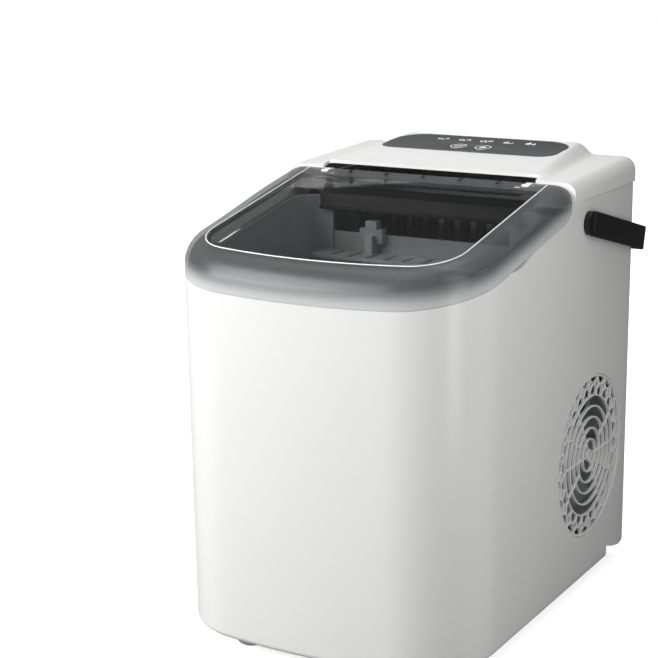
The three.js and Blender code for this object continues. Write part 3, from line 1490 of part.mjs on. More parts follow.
/** Ring-shaped bush where the supply lead enters the back panel. */
function cordGland() {
  const outerFace = bodyRear - wall / 2 + clearance;
  const flange = rod('y', outerFace, outerFace + 2.5, glandX, glandZ, glandRadius, 24, glandRadius - 1.5);
  const neck = glandRadius - 2 - clearance;
  const sleeve = rod('y', bodyRear - 3 * wall - 2, outerFace + 1, glandX, glandZ, neck, 20);
  const bore = rod('y', bodyRear - 5 * wall, bodyRear + 2 * wall, glandX, glandZ, 3.6, 16);
  return cut(flange.add(sleeve), bore);
}

// ---------------------------------------------------------------- assembly

/** How far back the folded handle reaches, and the shift that centres the machine front to back. */
const rearmost = handleY + handleReach * Math.cos(handleDroop * degrees)
  + (handleWidth / 2) * Math.sin(handleDroop * degrees);
const centring = -(bodyFront + rearmost) / 2;

const machine = new THREE.Group();
machine.position.set(0, centring, footHeight);

function place(name, body, material) {
  const mesh = new THREE.Mesh(geometryOf(body), material);
  mesh.name = name;
  machine.add(mesh);
}

place('body_shell', bodyShell(), white);
place('back_panel', backPanel(), white);
screwPlaces.forEach((spot, number) => place(`back_screw_${number + 1}`, backScrew(spot), steel));
place('base_tray', baseTray(), pale);
Object.entries(footPlaces).forEach(([name, spot]) => place(name, foot(spot), pale));
place('lid_frame', lidFrame(), smoke);
place('lid_window', lidWindow(), smoke);
place('lid_pin_left', lidPin(-1), steel);
place('lid_pin_right', lidPin(1), steel);
place('top_cover', topCover(), white);
place('control_overlay', controlOverlay(), charcoal);
place('power_button', button(buttonPlaces[0]), charcoal);
place('select_button', button(buttonPlaces[1]), charcoal);
place('control_board', controlBoard(), green);
place('inner_tub', innerTub(), liner);
place('tub_foam', tubFoam(), foam);
place('ice_basket', iceBasket(), pale);
place('basket_stand', basketStand(), liner);
place('evaporator', evaporator(), steel);
place('water_tray', waterTray(), pale);
place('tray_shaft', trayShaft(), steel);
place('tray_motor', trayMotor(), black);
place('ice_shovel', iceShovel(), liner);
place('chamber_hood', chamberHood(), black);
place('ice_sensor_left', iceSensor(-1), black);
place('ice_sensor_right', iceSensor(1), black);
place('water_pump', waterPump(), black);
place('pump_hose', pumpHose(), rubber);
place('drain_fitting', drainFitting(), pale);
place('drain_plug', drainPlug(), pale);
place('drain_hose', drainHose(), rubber);
place('compressor', compressor(), black);
mountAngles.forEach((angle, number) => {
  place(`compressor_mount_${number + 1}`, compressorMount(angle), rubber);
});
place('condenser', condenser(), steel);
place('fan_shroud', fanShroud(), black);
place('fan_motor', fanMotor(), black);
place('fan_rotor', fanRotor(), black);
place('fan_grille', fanGrille(), white);
place('discharge_line', dischargeLine(), copper);
place('filter_drier', filterDrier(), copper);
place('suction_line', suctionLine(), copper);
place('capillary_line', capillaryLine(), copper);
place('carry_handle', carryHandle(), black);
place('handle_pivot_left', handlePivot(-1), black);
place('handle_pivot_right', handlePivot(1), black);
place('power_board', powerBoard(), green);
place('cord_gland', cordGland(), black);

const group = new THREE.Group();
group.add(machine);
export default group;
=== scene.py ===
"""Looks for a countertop ice maker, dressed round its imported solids.

Sizes in the classes are millimetres in the machine's own datum: X across, Y from the middle of the
housing towards the back, Z up from the housing's bottom edge. A piece is modelled there and moved
to the frame's metres when it is settled on its body.
"""

from __future__ import annotations

import logging
import math
from collections.abc import Callable, Iterable, Iterator, Sequence
from contextlib import contextmanager
from dataclasses import dataclass, field, replace
from enum import Enum

import bmesh
import bpy
from mathutils import Matrix, Vector

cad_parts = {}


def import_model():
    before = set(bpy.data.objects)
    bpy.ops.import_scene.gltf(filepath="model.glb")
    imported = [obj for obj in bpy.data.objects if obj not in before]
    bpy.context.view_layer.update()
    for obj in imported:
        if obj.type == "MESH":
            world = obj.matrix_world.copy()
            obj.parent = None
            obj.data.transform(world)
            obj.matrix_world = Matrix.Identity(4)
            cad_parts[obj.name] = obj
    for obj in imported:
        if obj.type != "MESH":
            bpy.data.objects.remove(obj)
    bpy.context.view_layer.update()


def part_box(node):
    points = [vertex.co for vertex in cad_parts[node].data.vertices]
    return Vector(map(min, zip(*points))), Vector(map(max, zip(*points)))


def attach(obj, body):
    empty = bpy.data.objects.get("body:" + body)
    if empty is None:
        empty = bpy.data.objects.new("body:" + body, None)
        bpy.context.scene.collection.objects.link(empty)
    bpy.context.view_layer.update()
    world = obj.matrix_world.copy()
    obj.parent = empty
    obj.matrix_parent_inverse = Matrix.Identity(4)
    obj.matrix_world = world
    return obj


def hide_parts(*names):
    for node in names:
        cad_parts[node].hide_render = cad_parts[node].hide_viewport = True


LOG = logging.getLogger("ice_maker")
MM = 0.001
NEAR = 1e-3
QUARTER = math.pi / 2
# How far tools reach to each side of the machine's middle, ahead of and behind it, and up.
WIDE, LONG, TALL = 160.0, 190.0, 360.0
# The room round a piece that is let into another.
GAP = 0.3
# Centres that more than one piece is built on, as Y and Z.
LID_HINGE = (26.5, 293.0)
HANDLE_PIVOT = (57.5, 267.0)
FAN_CENTRE = (73.6, 93.4)

Point = Sequence[float]
Obj = bpy.types.Object
Tree = bpy.types.NodeTree
Socket = bpy.types.NodeSocket


class Body(str, Enum):
    """The moving groups that a piece can ride on."""

    HOUSING = "housing"
    LID = "lid"
    HANDLE = "handle"
    FAN = "fan"
    TRAY = "tray"
    SHOVEL = "shovel"
    BASKET = "basket"
    POWER_KEY = "power_key"
    SELECT_KEY = "select_key"
    PLUG = "plug"


# ---------------------------------------------------------------- finishes


def linear(hex_colour: str) -> tuple[float, float, float, float]:
    """Turns an sRGB hex colour into a linear one.

    Args:
        hex_colour: six hex digits after a hash.

    Returns:
        The linear red, green and blue, with an alpha of one.
    """
    channels = [int(hex_colour[i : i + 2], 16) / 255 for i in (1, 3, 5)]
    lit = [c / 12.92 if c <= 0.04045 else ((c + 0.055) / 1.055) ** 2.4 for c in channels]
    return (lit[0], lit[1], lit[2], 1.0)


def empty_tree(owner: bpy.types.Material | bpy.types.World) -> Tree:
    """Gives a material or a world a node tree with nothing in it.

    Args:
        owner: the material or the world.

    Returns:
        Its node tree.
    """
    owner.use_nodes = True
    owner.node_tree.nodes.clear()
    return owner.node_tree


def add_node(
    tree: Tree, kind: str, inputs: dict[str | int, object] | None = None, **settings: object
) -> bpy.types.Node:
    """Adds a shader node.

    Args:
        tree: the node tree.
        kind: the node's type name, without ShaderNode.
        inputs: by input socket, its value or the output socket that is joined to it.
        settings: attributes of the node.

    Returns:
        The new node.
    """
    made = tree.nodes.new(f"ShaderNode{kind}")
    for name, value in settings.items():
        setattr(made, name, value)
    for name, value in (inputs or {}).items():
        if isinstance(value, Socket):
            tree.links.new(value, made.inputs[name])
        else:
            made.inputs[name].default_value = value
    return made


def blend(tree: Tree, share: Socket, low: Point, high: Point) -> Socket:
    """A colour that goes from low to high as share goes from zero to one."""
    return add_node(tree, "Mix", {0: share, 6: low, 7: high}, data_type="RGBA").outputs[2]


def spread(
    tree: Tree,
    value: Socket,
    to: tuple[object, object],
    source: tuple[float, float] = (0.0, 1.0),
    kind: str = "LINEAR",
) -> Socket:
    """Spreads a value from one range over another.

    Args:
        tree: the node tree.
        value: the value.
        to: the new range, as numbers or sockets.
        source: the range that the value comes from.
        kind: how it is spread, LINEAR or SMOOTHSTEP.

    Returns:
        The spread value.
    """
    ends = dict(zip(("From Min", "From Max", "To Min", "To Max"), (*source, *to)))
    made = add_node(tree, "MapRange", {"Value": value, **ends}, interpolation_type=kind)
    return made.outputs["Result"]


@dataclass(frozen=True)
class Finish:
    """A surface: its colour, gloss and fine relief.

    grain is the width of the moulded or cast grain in millimetres and relief its height. drift is
    how far the colour wanders over the surface, and wear how far the gloss does.
    """

    name: str
    colour: str
    roughness: float
    metallic: float = 0.0
    grain: float = 0.8
    relief: float = 0.01
    drift: float = 0.02
    wear: float = 0.05
    ior: float = 1.5
    alpha: float = 1.0
    coat: float = 0.0
    sheen: float = 0.0

    def material(self) -> bpy.types.Material:
        """Makes the material, or gives the one that was made before.

        Returns:
            The material, which has the finish's name.
        """
        known = bpy.data.materials.get(self.name)
        if known is not None:
            return known
        made = bpy.data.materials.new(self.name)
        tree = empty_tree(made)
        place = add_node(tree, "TexCoord").outputs["Object"]
        inputs = {
            "Metallic": self.metallic,
            "IOR": self.ior,
            "Alpha": self.alpha,
            "Coat Weight": self.coat,
            "Sheen Weight": self.sheen,
            "Base Color": self._colour(tree, place),
            "Roughness": self._gloss(tree, place),
            "Normal": self._relief(tree, place),
        }
        shader = add_node(tree, "BsdfPrincipled", inputs | self._extra(tree, place))
        add_node(tree, "OutputMaterial", {"Surface": shader.outputs["BSDF"]})
        return made

    def _colour(self, tree: Tree, place: Socket) -> Socket:
        """A colour that drifts a little over hand-sized patches.

        Args:
            tree: the node tree.
            place: the coordinates that its textures read.

        Returns:
            The colour.
        """
        cloud = add_node(tree, "TexNoise", {"Scale": 14.0, "Detail": 3.0, "Vector": place})
        base = linear(self.colour)[:3]
        low = (*(c * (1 - self.drift) for c in base), 1.0)
        high = (*(min(c * (1 + self.drift), 1.0) for c in base), 1.0)
        return blend(tree, cloud.outputs["Fac"], low, high)

    def _gloss(self, tree: Tree, place: Socket) -> Socket:
        """A roughness that varies over finger-sized patches, as handled plastic does.

        Args:
            tree: the node tree.
            place: the coordinates that its textures read.

        Returns:
            The roughness.
        """
        patch = add_node(tree, "TexNoise", {"Scale": 45.0, "Detail": 4.0, "Vector": place})
        ends = (self.roughness - self.wear, self.roughness + self.wear)
        return spread(tree, patch.outputs["Fac"], ends)

    def _relief(self, tree: Tree, place: Socket) -> Socket:
        """The grain of the tool, as a slight bump."""
        return self._bump(tree, place, strength=0.35, detail=2.0, breakup=0.55)

    def _bump(
        self, tree: Tree, place: Socket, strength: float, detail: float, breakup: float
    ) -> Socket:
        """A bump as wide as the grain and as high as the relief.

        Args:
            tree: the node tree.
            place: where the noise is read.
            strength: the bump's strength.
            detail: how many finer layers the noise has.
            breakup: how strong the finer layers are.

        Returns:
            The bumped normal.
        """
        noise = {"Scale": 1 / (self.grain * MM), "Detail": detail, "Roughness": breakup}
        height = add_node(tree, "TexNoise", noise | {"Vector": place}).outputs["Fac"]
        shape = {"Strength": strength, "Distance": self.relief * MM, "Height": height}
        return add_node(tree, "Bump", shape).outputs["Normal"]

    def _extra(self, tree: Tree, place: Socket) -> dict[str | int, object]:
        """The inputs that a special finish sets over the plain ones. A plain one sets none."""
        return {}


@dataclass(frozen=True)
class SmokedMoulding(Finish):
    """Clear smoked styrene, dark in its body, with painted light in its lip.

    The lip is painted pale and denser: its colour stands in for the light that the lip gathers and
    the pale ledge seen behind it. Above the lip the moulding clears and darkens with height above
    the seam. start and rise give the change's place and height in millimetres.
    """

    # The lip's pale colour is painted light: it stands in for the light in the lip and the pale
    # ledge behind it.
    lip_painted_light: str = "#dadbdb"
    lip_alpha: float = 0.8
    start: float = 1.5
    rise: float = 12.5
    seam_slope: float = 0.0
    seam_height: float = 0.0

    def _extra(self, tree: Tree, place: Socket) -> dict[str | int, object]:
        """Blends colour and clearness from the painted pale lip up to the window.

        Args:
            tree: the node tree.
            place: the coordinates that its textures read.

        Returns:
            The base colour and the alpha.
        """
        split = add_node(tree, "SeparateXYZ", {"Vector": place}).outputs
        seam = {0: split["Y"], 1: -self.seam_slope, 2: -self.seam_height * MM}
        lean = add_node(tree, "Math", seam, operation="MULTIPLY_ADD").outputs["Value"]
        height = add_node(tree, "Math", {0: split["Z"], 1: lean}, operation="ADD")
        source = (self.start * MM, (self.start + self.rise) * MM)
        share = spread(tree, height.outputs["Value"], (0.0, 1.0), source, "SMOOTHSTEP")
        return {
            "Base Color": blend(tree, share, linear(self.lip_painted_light), linear(self.colour)),
            "Alpha": spread(tree, share, (self.lip_alpha, self.alpha)),
        }


@dataclass(frozen=True)
class DrawnMetal(Finish):
    """Metal with fine drawing lines along one axis: x, y or z."""

    along: str = "x"

    def _relief(self, tree: Tree, place: Socket) -> Socket:
        """Lines a fraction of a millimetre apart, stretched along the drawing direction.

        Args:
            tree: the node tree.
            place: the coordinates that its textures read.

        Returns:
            The bumped normal.
        """
        stretch = [1.0 if axis != self.along else 0.04 for axis in "xyz"]
        drawn = add_node(tree, "Mapping", {"Scale": stretch, "Vector": place}).outputs["Vector"]
        return self._bump(tree, drawn, strength=0.4, detail=3.0, breakup=0.5)


@dataclass(frozen=True)
class Board(Finish):
    """Glass-fibre circuit board: its bare colour, darker tracks and paler joints between them."""

    track: str = "#174427"
    joint: str = "#8aa37c"
    cell: float = 9.0

    def _colour(self, tree: Tree, place: Socket) -> Socket:
        """Tracks as blocky cells.

        Args:
            tree: the node tree.
            place: the coordinates that its textures read.

        Returns:
            The colour.
        """
        cells = {
            "Scale": 1 / (self.cell * MM),
            "Mortar Size": 0.03,
            "Color1": linear(self.colour),
            "Color2": linear(self.track),
            "Mortar": linear(self.joint),
            "Vector": place,
        }
        return add_node(tree, "TexBrick", cells).outputs["Color"]


# The housing is injection-moulded ABS, satin to glossy: broad soft highlights, hardly any grain.
WHITE_ABS = Finish(
    "white_moulded_abs", "#f1f1f0", 0.3, grain=0.6, relief=0.004, drift=0.01, wear=0.015
)
# The cover is the same ABS from another tool.
COVER_ABS = replace(WHITE_ABS, name="white_cover_abs", colour="#f3f3f2", roughness=0.38)
# The guard's thin ribs are the same ABS and catch light on their edges.
GUARD_ABS = replace(WHITE_ABS, name="white_guard_abs", colour="#f3f3f2", roughness=0.42)
# Base and fittings: plain pale polypropylene, a little waxy.
PALE_PP = Finish("pale_polypropylene", "#d6d8d8", 0.45, grain=1.0, relief=0.01)
# The tub is grey ABS with a fine spark grain, so it shows no sharp reflection.
GREY_LINER = Finish("grey_liner_abs", "#bbbcbe", 0.5, grain=0.9, relief=0.02, drift=0.03)
# The ice shovel is lighter grey acetal, slightly waxy.
GREY_ACETAL = Finish("grey_acetal", "#a9aaab", 0.42, grain=1.0, relief=0.01)
# The lid is smoked styrene: a satin skirt with painted light in its pale lip, and a polished window
# that darkens the view.
LID_SKIRT = SmokedMoulding(
    "smoked_styrene_skirt", "#5a5c5e", 0.32, alpha=0.6, relief=0.0, wear=0.02
)
LID_WINDOW = Finish(
    "smoked_styrene_window", "#161718", 0.06, alpha=0.28, relief=0.0, wear=0.015
)
# A near-white bead is a painted highlight: it stands in for the light that the window's polished
# edge gathers as a bright line.
EDGE_HIGHLIGHT_PAINT = Finish("painted_window_edge_highlight", "#fbfbfb", 0.2, relief=0.0, wear=0.02, coat=0.3)
# The hinge bar is the same moulding in its full thickness, nearly black.
SMOKED_BAR = Finish("smoked_styrene_bar", "#303133", 0.22, alpha=0.94, relief=0.0, wear=0.03)
# The panel is a dark grey hard-coated polyester label with a fine even texture.
PANEL_FILM = Finish("dark_panel_film", "#58595b", 0.42, grain=0.35, relief=0.008, drift=0.03)
PRINT_INK = Finish("white_screen_ink", "#f4f4f4", 0.6, relief=0.004)
# The handle is satin black nylon, and the electrical cases are matt black ABS. The hood gets the
# same black as painted shade, where the room under the cover's front lies in shadow.
BLACK_NYLON = Finish("black_satin_nylon", "#0b0b0c", 0.5, grain=0.7, relief=0.015, drift=0.1)
BLACK_ABS_AND_PAINTED_SHADE = Finish("black_abs_and_painted_shade", "#141415", 0.6, grain=0.7, relief=0.015, drift=0.1)
# The fan and its shroud are grey ABS.
FAN_ABS = Finish("grey_fan_abs", "#8d8f91", 0.55, grain=0.7, relief=0.01, drift=0.08)
# Mounts and hoses: matt black rubber with a dusty bloom.
RUBBER = Finish("black_rubber", "#242424", 0.82, grain=0.5, relief=0.03, drift=0.12, sheen=0.15)
# Feet: soft, pale grey thermoplastic rubber.
PALE_TPE = Finish("pale_thermoplastic_rubber", "#d4d5d5", 0.7, grain=0.5, relief=0.02, drift=0.05)
# Screws and shafts: zinc-plated steel.
STEEL = DrawnMetal("zinc_plated_steel", "#b9bcc0", 0.3, metallic=1.0, grain=0.3, relief=0.01)
# Evaporator: nickel-plated copper, dull and a little cloudy.
NICKEL = DrawnMetal(
    "nickel_plate", "#a6a49e", 0.34, metallic=1.0, grain=0.5, relief=0.012, wear=0.08, along="z"
)
FIN_ALUMINIUM = DrawnMetal(
    "mill_aluminium", "#c4c7ca", 0.4, metallic=1.0, grain=0.3, relief=0.008, along="z"
)
COPPER = Finish("copper_tube", "#b4663f", 0.28, metallic=1.0, grain=0.8, relief=0.008, drift=0.15)
# The compressor can is deep-drawn steel in black stove enamel.
ENAMEL = Finish("black_stove_enamel", "#101011", 0.26, grain=0.9, relief=0.02, coat=0.4)
FOAM = Finish("pale_polyurethane_foam", "#e9e4cf", 0.92, grain=2.2, relief=0.25, drift=0.08)
BOARD = Board("green_circuit_board", "#1f5a35", 0.45, grain=0.8, relief=0.01)
BASKET_PS = Finish(
    "cloudy_clear_basket", "#c3c7ca", 0.24, alpha=0.62, grain=1.2, relief=0.01, drift=0.03
)


# ---------------------------------------------------------------- modelling by hand


def clear_selection() -> None:
    """Leaves object mode with nothing selected."""
    if bpy.context.object is not None and bpy.context.object.mode != "OBJECT":
        bpy.ops.object.mode_set(mode="OBJECT")
    bpy.ops.object.select_all(action="DESELECT")


def take(*objects: Obj) -> Obj:
    """Selects only these objects and makes the first one active.

    Args:
        objects: what the next operator acts on.

    Returns:
        The active object.
    """
    clear_selection()
    for obj in objects:
        obj.select_set(True)
    bpy.context.view_layer.objects.active = objects[0]
    return objects[0]


def select_points(obj: Obj, wanted: Callable[[Vector], bool]) -> None:
    """Selects some vertices, in edit mode, with the edges and faces between them.

    Args:
        obj: the object that is in edit mode.
        wanted: tells which places are selected.
    """
    mesh = bmesh.from_edit_mesh(obj.data)
    for vertex in mesh.verts:
        vertex.select_set(bool(wanted(vertex.co)))
    mesh.select_flush(True)
    mesh.select_flush(False)
    bmesh.update_edit_mesh(obj.data)


class Outline:
    """A chain of edges, drawn point by point in edit mode."""

    def __init__(self, name: str, start: Point) -> None:
        """Starts the chain from a single vertex.

        Args:
            name: the new object's name.
            start: the first point.
        """
        clear_selection()
        bpy.ops.mesh.primitive_plane_add(size=1.0, location=(0, 0, 0))
        self.obj = bpy.context.active_object
        self.obj.name = name
        bpy.ops.object.mode_set(mode="EDIT")
        bpy.ops.mesh.select_all(action="SELECT")
        bpy.ops.mesh.merge(type="CENTER")
        bpy.ops.transform.translate(value=Vector(start))
        self.tip = Vector(start)

    def line(self, *stops: Point) -> Outline:
        """Draws straight edges to each stop in turn.

        Args:
            stops: the points that it passes.

        Returns:
            This outline, at the last stop.
        """
        for stop in stops:
            step = Vector(stop) - self.tip
            if step.length > NEAR:
                bpy.ops.mesh.extrude_vertices_move(TRANSFORM_OT_translate={"value": step})
                self.tip = Vector(stop)
        return self

    def arc(self, centre: Point, angle: float, steps: int, axis: Point = (0, 0, 1)) -> Outline:
        """Draws an arc round a centre, by the right-hand rule about the axis.

        Args:
            centre: a point on the arc's axis.
            angle: how far the arc turns, in radians.
            steps: the number of edges.
            axis: the direction to turn about.

        Returns:
            This outline, at the arc's far end.
        """
        bpy.ops.mesh.spin(steps=steps, angle=-angle, center=Vector(centre), axis=Vector(axis))
        turn = Matrix.Rotation(angle, 3, Vector(axis))
        self.tip = Vector(centre) + turn @ (self.tip - Vector(centre))
        return self

    def closed(self) -> Obj:
        """Joins the last point to the first and leaves edit mode.

        Returns:
            The closed chain.
        """
        bpy.ops.mesh.select_all(action="SELECT")
        bpy.ops.mesh.remove_doubles(threshold=0.01)
        mesh = bmesh.from_edit_mesh(self.obj.data)
        ends = [vertex for vertex in mesh.verts if len(vertex.link_edges) == 1]
        if len(ends) == 2:
            mesh.edges.new(ends)
            bmesh.update_edit_mesh(self.obj.data)
        bpy.ops.object.mode_set(mode="OBJECT")
        return self.obj

    def open(self) -> Obj:
        """Leaves edit mode with the chain open."""
        bpy.ops.object.mode_set(mode="OBJECT")
        return self.obj


@contextmanager
def editing(obj: Obj) -> Iterator[None]:
    """Edit mode on one object, all of it selected. At the end its faces are turned outwards.

    Args:
        obj: the object.

    Yields:
        Nothing, while the object is edited.
    """
    take(obj)
    bpy.ops.object.mode_set(mode="EDIT")
    bpy.ops.mesh.select_all(action="SELECT")
    yield
    bpy.ops.mesh.select_all(action="SELECT")
    bpy.ops.mesh.normals_make_consistent(inside=False)
    bpy.ops.object.mode_set(mode="OBJECT")


def joined(name: str, parts: Sequence[Obj]) -> Obj:
    """Joins objects into one and names it.

    Args:
        name: the whole's name.
        parts: the objects.

    Returns:
        The whole.
    """
    whole = take(*parts)
    bpy.ops.object.join()
    whole.name = name
    return whole


def polygon(name: str, corners: Sequence[Point]) -> Obj:
    """A closed chain of straight edges through the corners."""
    return Outline(name, corners[0]).line(*corners[1:]).closed()


def raised(outline: Obj, by: Point) -> Obj:
    """Fills a flat outline and pulls it out into a closed form.

    Args:
        outline: a closed chain of edges.
        by: how far and which way it is pulled.

    Returns:
        The same object, as a closed form.
    """
    with editing(outline):
        bpy.ops.mesh.edge_face_add()
        bpy.ops.mesh.extrude_region_move(TRANSFORM_OT_translate={"value": Vector(by)})
    return outline


def prism(name: str, profile: Iterable[Point]) -> Obj:
    """A tool that reaches right across the machine, from its profile as Y and Z."""
    return raised(polygon(name, [(-WIDE, *corner) for corner in profile]), (2 * WIDE, 0, 0))


def bridged(name: str, rings: Sequence[Obj], axis: int = 2) -> Obj:
    """Joins flat rings into one closed form, each bridged to the next and both ends capped.

    Args:
        name: the new piece's name.
        rings: closed outlines, each at its own station along the axis.
        axis: the axis that the stations lie along.

    Returns:
        The closed form.
    """
    stations = [ring.data.vertices[0].co[axis] for ring in rings]
    obj = joined(name, rings)
    with editing(obj):
        for near, far in zip(stations, stations[1:]):
            select_points(obj, lambda co: min(abs(co[axis] - near), abs(co[axis] - far)) < NEAR)
            bpy.ops.mesh.bridge_edge_loops()
        for end in (stations[0], stations[-1]):
            select_points(obj, lambda co: abs(co[axis] - end) < NEAR)
            bpy.ops.mesh.edge_face_add()
    return obj


def combine(
    target: Obj, tools: Iterable[Obj], operation: str = "DIFFERENCE"
) -> Obj:
    """Cuts tools from a piece, or joins them to it, and removes the tools.

    Args:
        target: the piece that stays.
        tools: closed forms.
        operation: DIFFERENCE, UNION or INTERSECT.

    Returns:
        The piece.
    """
    for tool in tools:
        take(target)
        bpy.ops.object.modifier_add(type="BOOLEAN")
        modifier = target.modifiers[-1]
        modifier.operation = operation
        modifier.solver = "EXACT"
        modifier.object = tool
        bpy.ops.object.modifier_apply(modifier=modifier.name)
        bpy.data.objects.remove(tool, do_unlink=True)
    return target


def block(name: str, low: Point, high: Point) -> Obj:
    """A block between two corners, as a start for a piece or a tool.

    Args:
        name: the new object's name.
        low: the corner with the lowest coordinates.
        high: the opposite corner.

    Returns:
        The block.
    """
    clear_selection()
    middle = (Vector(low) + Vector(high)) / 2
    bpy.ops.mesh.primitive_cube_add(size=1.0, location=middle, scale=Vector(high) - Vector(low))
    obj = bpy.context.active_object
    obj.name = name
    bpy.ops.object.transform_apply(location=True, rotation=True, scale=True)
    return obj


def bar(
    name: str, axis: str, start: float, end: float, centre: Point, radius: float, sides: int = 48
) -> Obj:
    """A round bar along an axis, as a start for a piece or a tool.

    Args:
        name: the new object's name.
        axis: x, y or z.
        start: one end's place along the axis.
        end: the other end's place.
        centre: the other two coordinates, in X, Y, Z order.
        radius: the bar's radius.
        sides: how many flats it has.

    Returns:
        The bar.
    """
    clear_selection()
    index = "xyz".index(axis)
    middle = list(centre)
    middle.insert(index, (start + end) / 2)
    turn = {"x": (0, math.pi / 2, 0), "y": (math.pi / 2, 0, 0), "z": (0, 0, 0)}[axis]
    bpy.ops.mesh.primitive_cylinder_add(
        vertices=sides, radius=radius, depth=abs(end - start), location=middle, rotation=turn
    )
    obj = bpy.context.active_object
    obj.name = name
    bpy.ops.object.transform_apply(location=True, rotation=True, scale=True)
    return obj


def turned(name: str, profile: Sequence[Point], centre: Point, axis: Point, steps: int) -> Obj:
    """Spins a closed profile once round an axis.

    Args:
        name: the new object's name.
        profile: the profile's corners, in place.
        centre: a point on the axis.
        axis: the axis.
        steps: facets in the full turn.

    Returns:
        The closed ring.
    """
    obj = polygon(name, profile)
    with editing(obj):
        bpy.ops.mesh.spin(
            steps=steps, angle=4 * QUARTER, center=Vector(centre), axis=Vector(axis)
        )
        bpy.ops.mesh.select_all(action="SELECT")
        bpy.ops.mesh.remove_doubles(threshold=0.005)
    return obj


def softened(
    obj: Obj, width: float, segments: int = 2, angle: float = 40.0
) -> Obj:
    """Rounds a piece's sharp edges.

    Args:
        obj: the piece.
        width: the rounding's width, in the piece's present units.
        segments: facets across the rounding.
        angle: edges that turn more than this, in degrees, are rounded.

    Returns:
        The piece.
    """
    take(obj)
    bpy.ops.object.modifier_add(type="BEVEL")
    bevel = obj.modifiers[-1]
    bevel.width = width
    bevel.segments = segments
    bevel.limit_method = "ANGLE"
    bevel.angle_limit = math.radians(angle)
    bevel.use_clamp_overlap = True
    bevel.harden_normals = False
    bpy.ops.object.modifier_apply(modifier=bevel.name)
    return obj


def copies(obj: Obj, places: Iterable[Matrix]) -> Obj:
    """Copies a form to each place and joins the copies, with the first form left out.

    Args:
        obj: the form that is repeated.
        places: a matrix for each copy.

    Returns:
        One object that holds every copy.
    """
    made = []
    for place in places:
        take(obj)
        bpy.ops.object.duplicate()
        made.append(bpy.context.active_object)
        made[-1].data.transform(place)
    bpy.data.objects.remove(obj, do_unlink=True)
    return joined("copies", made)


def turn_about(centre: Point, axis: Point, angle: float) -> Matrix:
    """A turn in radians about an axis through a point."""
    away = Matrix.Translation(Vector(centre))
    return away @ Matrix.Rotation(angle, 4, Vector(axis)) @ away.inverted()


def quarter(steps: int) -> list[float]:
    """The angles that part a quarter turn into equal steps, with both its ends."""
    return [step / steps * QUARTER for step in range(steps + 1)]


def part_way(value: float, start: float, end: float) -> float:
    """How far a value has come from start to end, held between zero and one."""
    return max(0.0, min(1.0, (value - start) / (end - start)))


def eased(share: float) -> float:
    """A share from zero to one, slowed at both ends."""
    return share * share * (3 - 2 * share)


def on_side(side: int, near: float, far: float) -> list[float]:
    """Two places along X on one side of the middle, the lower one first."""
    return sorted((side * near, side * far))


@dataclass(frozen=True)
class Datum:
    """Where the housing stands in the frame, in metres."""

    y: float
    z: float

    @classmethod
    def of_frame(cls) -> Datum:
        """Reads the housing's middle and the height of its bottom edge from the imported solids.

        Returns:
            The datum.
        """
        low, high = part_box("body_shell")
        foot_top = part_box("foot_front_left")[1].z
        return cls(y=(low.y + high.y) / 2, z=foot_top - 0.7 * MM)

    def matrix(self) -> Matrix:
        """From the classes' millimetres to the frame's metres."""
        return Matrix.Translation((0, self.y, self.z)) @ Matrix.Scale(MM, 4)


@dataclass
class Bench:
    """Where finished pieces are dressed and set on their bodies."""

    datum: Datum
    made: list[str] = field(default_factory=list)

    def settle(
        self,
        obj: Obj,
        finish: Finish,
        slot: str,
        *stands_for: str,
        body: Body = Body.HOUSING,
        smooth: float = 32.0,
        in_metres: bool = False,
    ) -> None:
        """Moves a piece to the frame, dresses it and lets it ride.

        Args:
            obj: the finished piece.
            finish: its surface.
            slot: the record's material slot; not used.
            stands_for: solids that it replaces.
            body: the body that it rides on.
            smooth: facets that meet at less than this angle, in degrees, are shaded as one.
            in_metres: True for a piece that was made in the frame already.
        """
        take(obj)
        bpy.ops.object.transform_apply(location=True, rotation=True, scale=True)
        if not in_metres:
            obj.data.transform(self.datum.matrix())
        bpy.ops.object.shade_smooth_by_angle(angle=math.radians(smooth))
        obj.data.materials.clear()
        obj.data.materials.append(finish.material())
        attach(obj, body.value)
        if stands_for:
            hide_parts(*stands_for)
        self.made.append(obj.name)
        LOG.info("%s: %d faces on %s", obj.name, len(obj.data.polygons), body.value)

    def refined(self, node: str, finish: Finish, slot: str, edge: float, body: Body) -> None:
        """Copies a solid, rounds its edges and dresses it in the solid's place.

        Args:
            node: the solid's name.
            finish: its surface.
            slot: the record's material slot.
            edge: the rounding of its edges in millimetres, or zero for none.
            body: the body that it rides on.
        """
        source = bpy.data.objects[node]
        obj = bpy.data.objects.new(f"{node}_finished", source.data.copy())
        bpy.context.scene.collection.objects.link(obj)
        take(obj)
        bpy.ops.object.mode_set(mode="EDIT")
        bpy.ops.mesh.select_all(action="SELECT")
        bpy.ops.mesh.remove_doubles(threshold=2e-6)
        bpy.ops.mesh.dissolve_limited(angle_limit=math.radians(0.5))
        bpy.ops.object.mode_set(mode="OBJECT")
        if edge > 0:
            softened(obj, edge * MM, angle=38.0)
        self.settle(obj, finish, slot, node, body=body, in_metres=True)


# ---------------------------------------------------------------- shared shapes


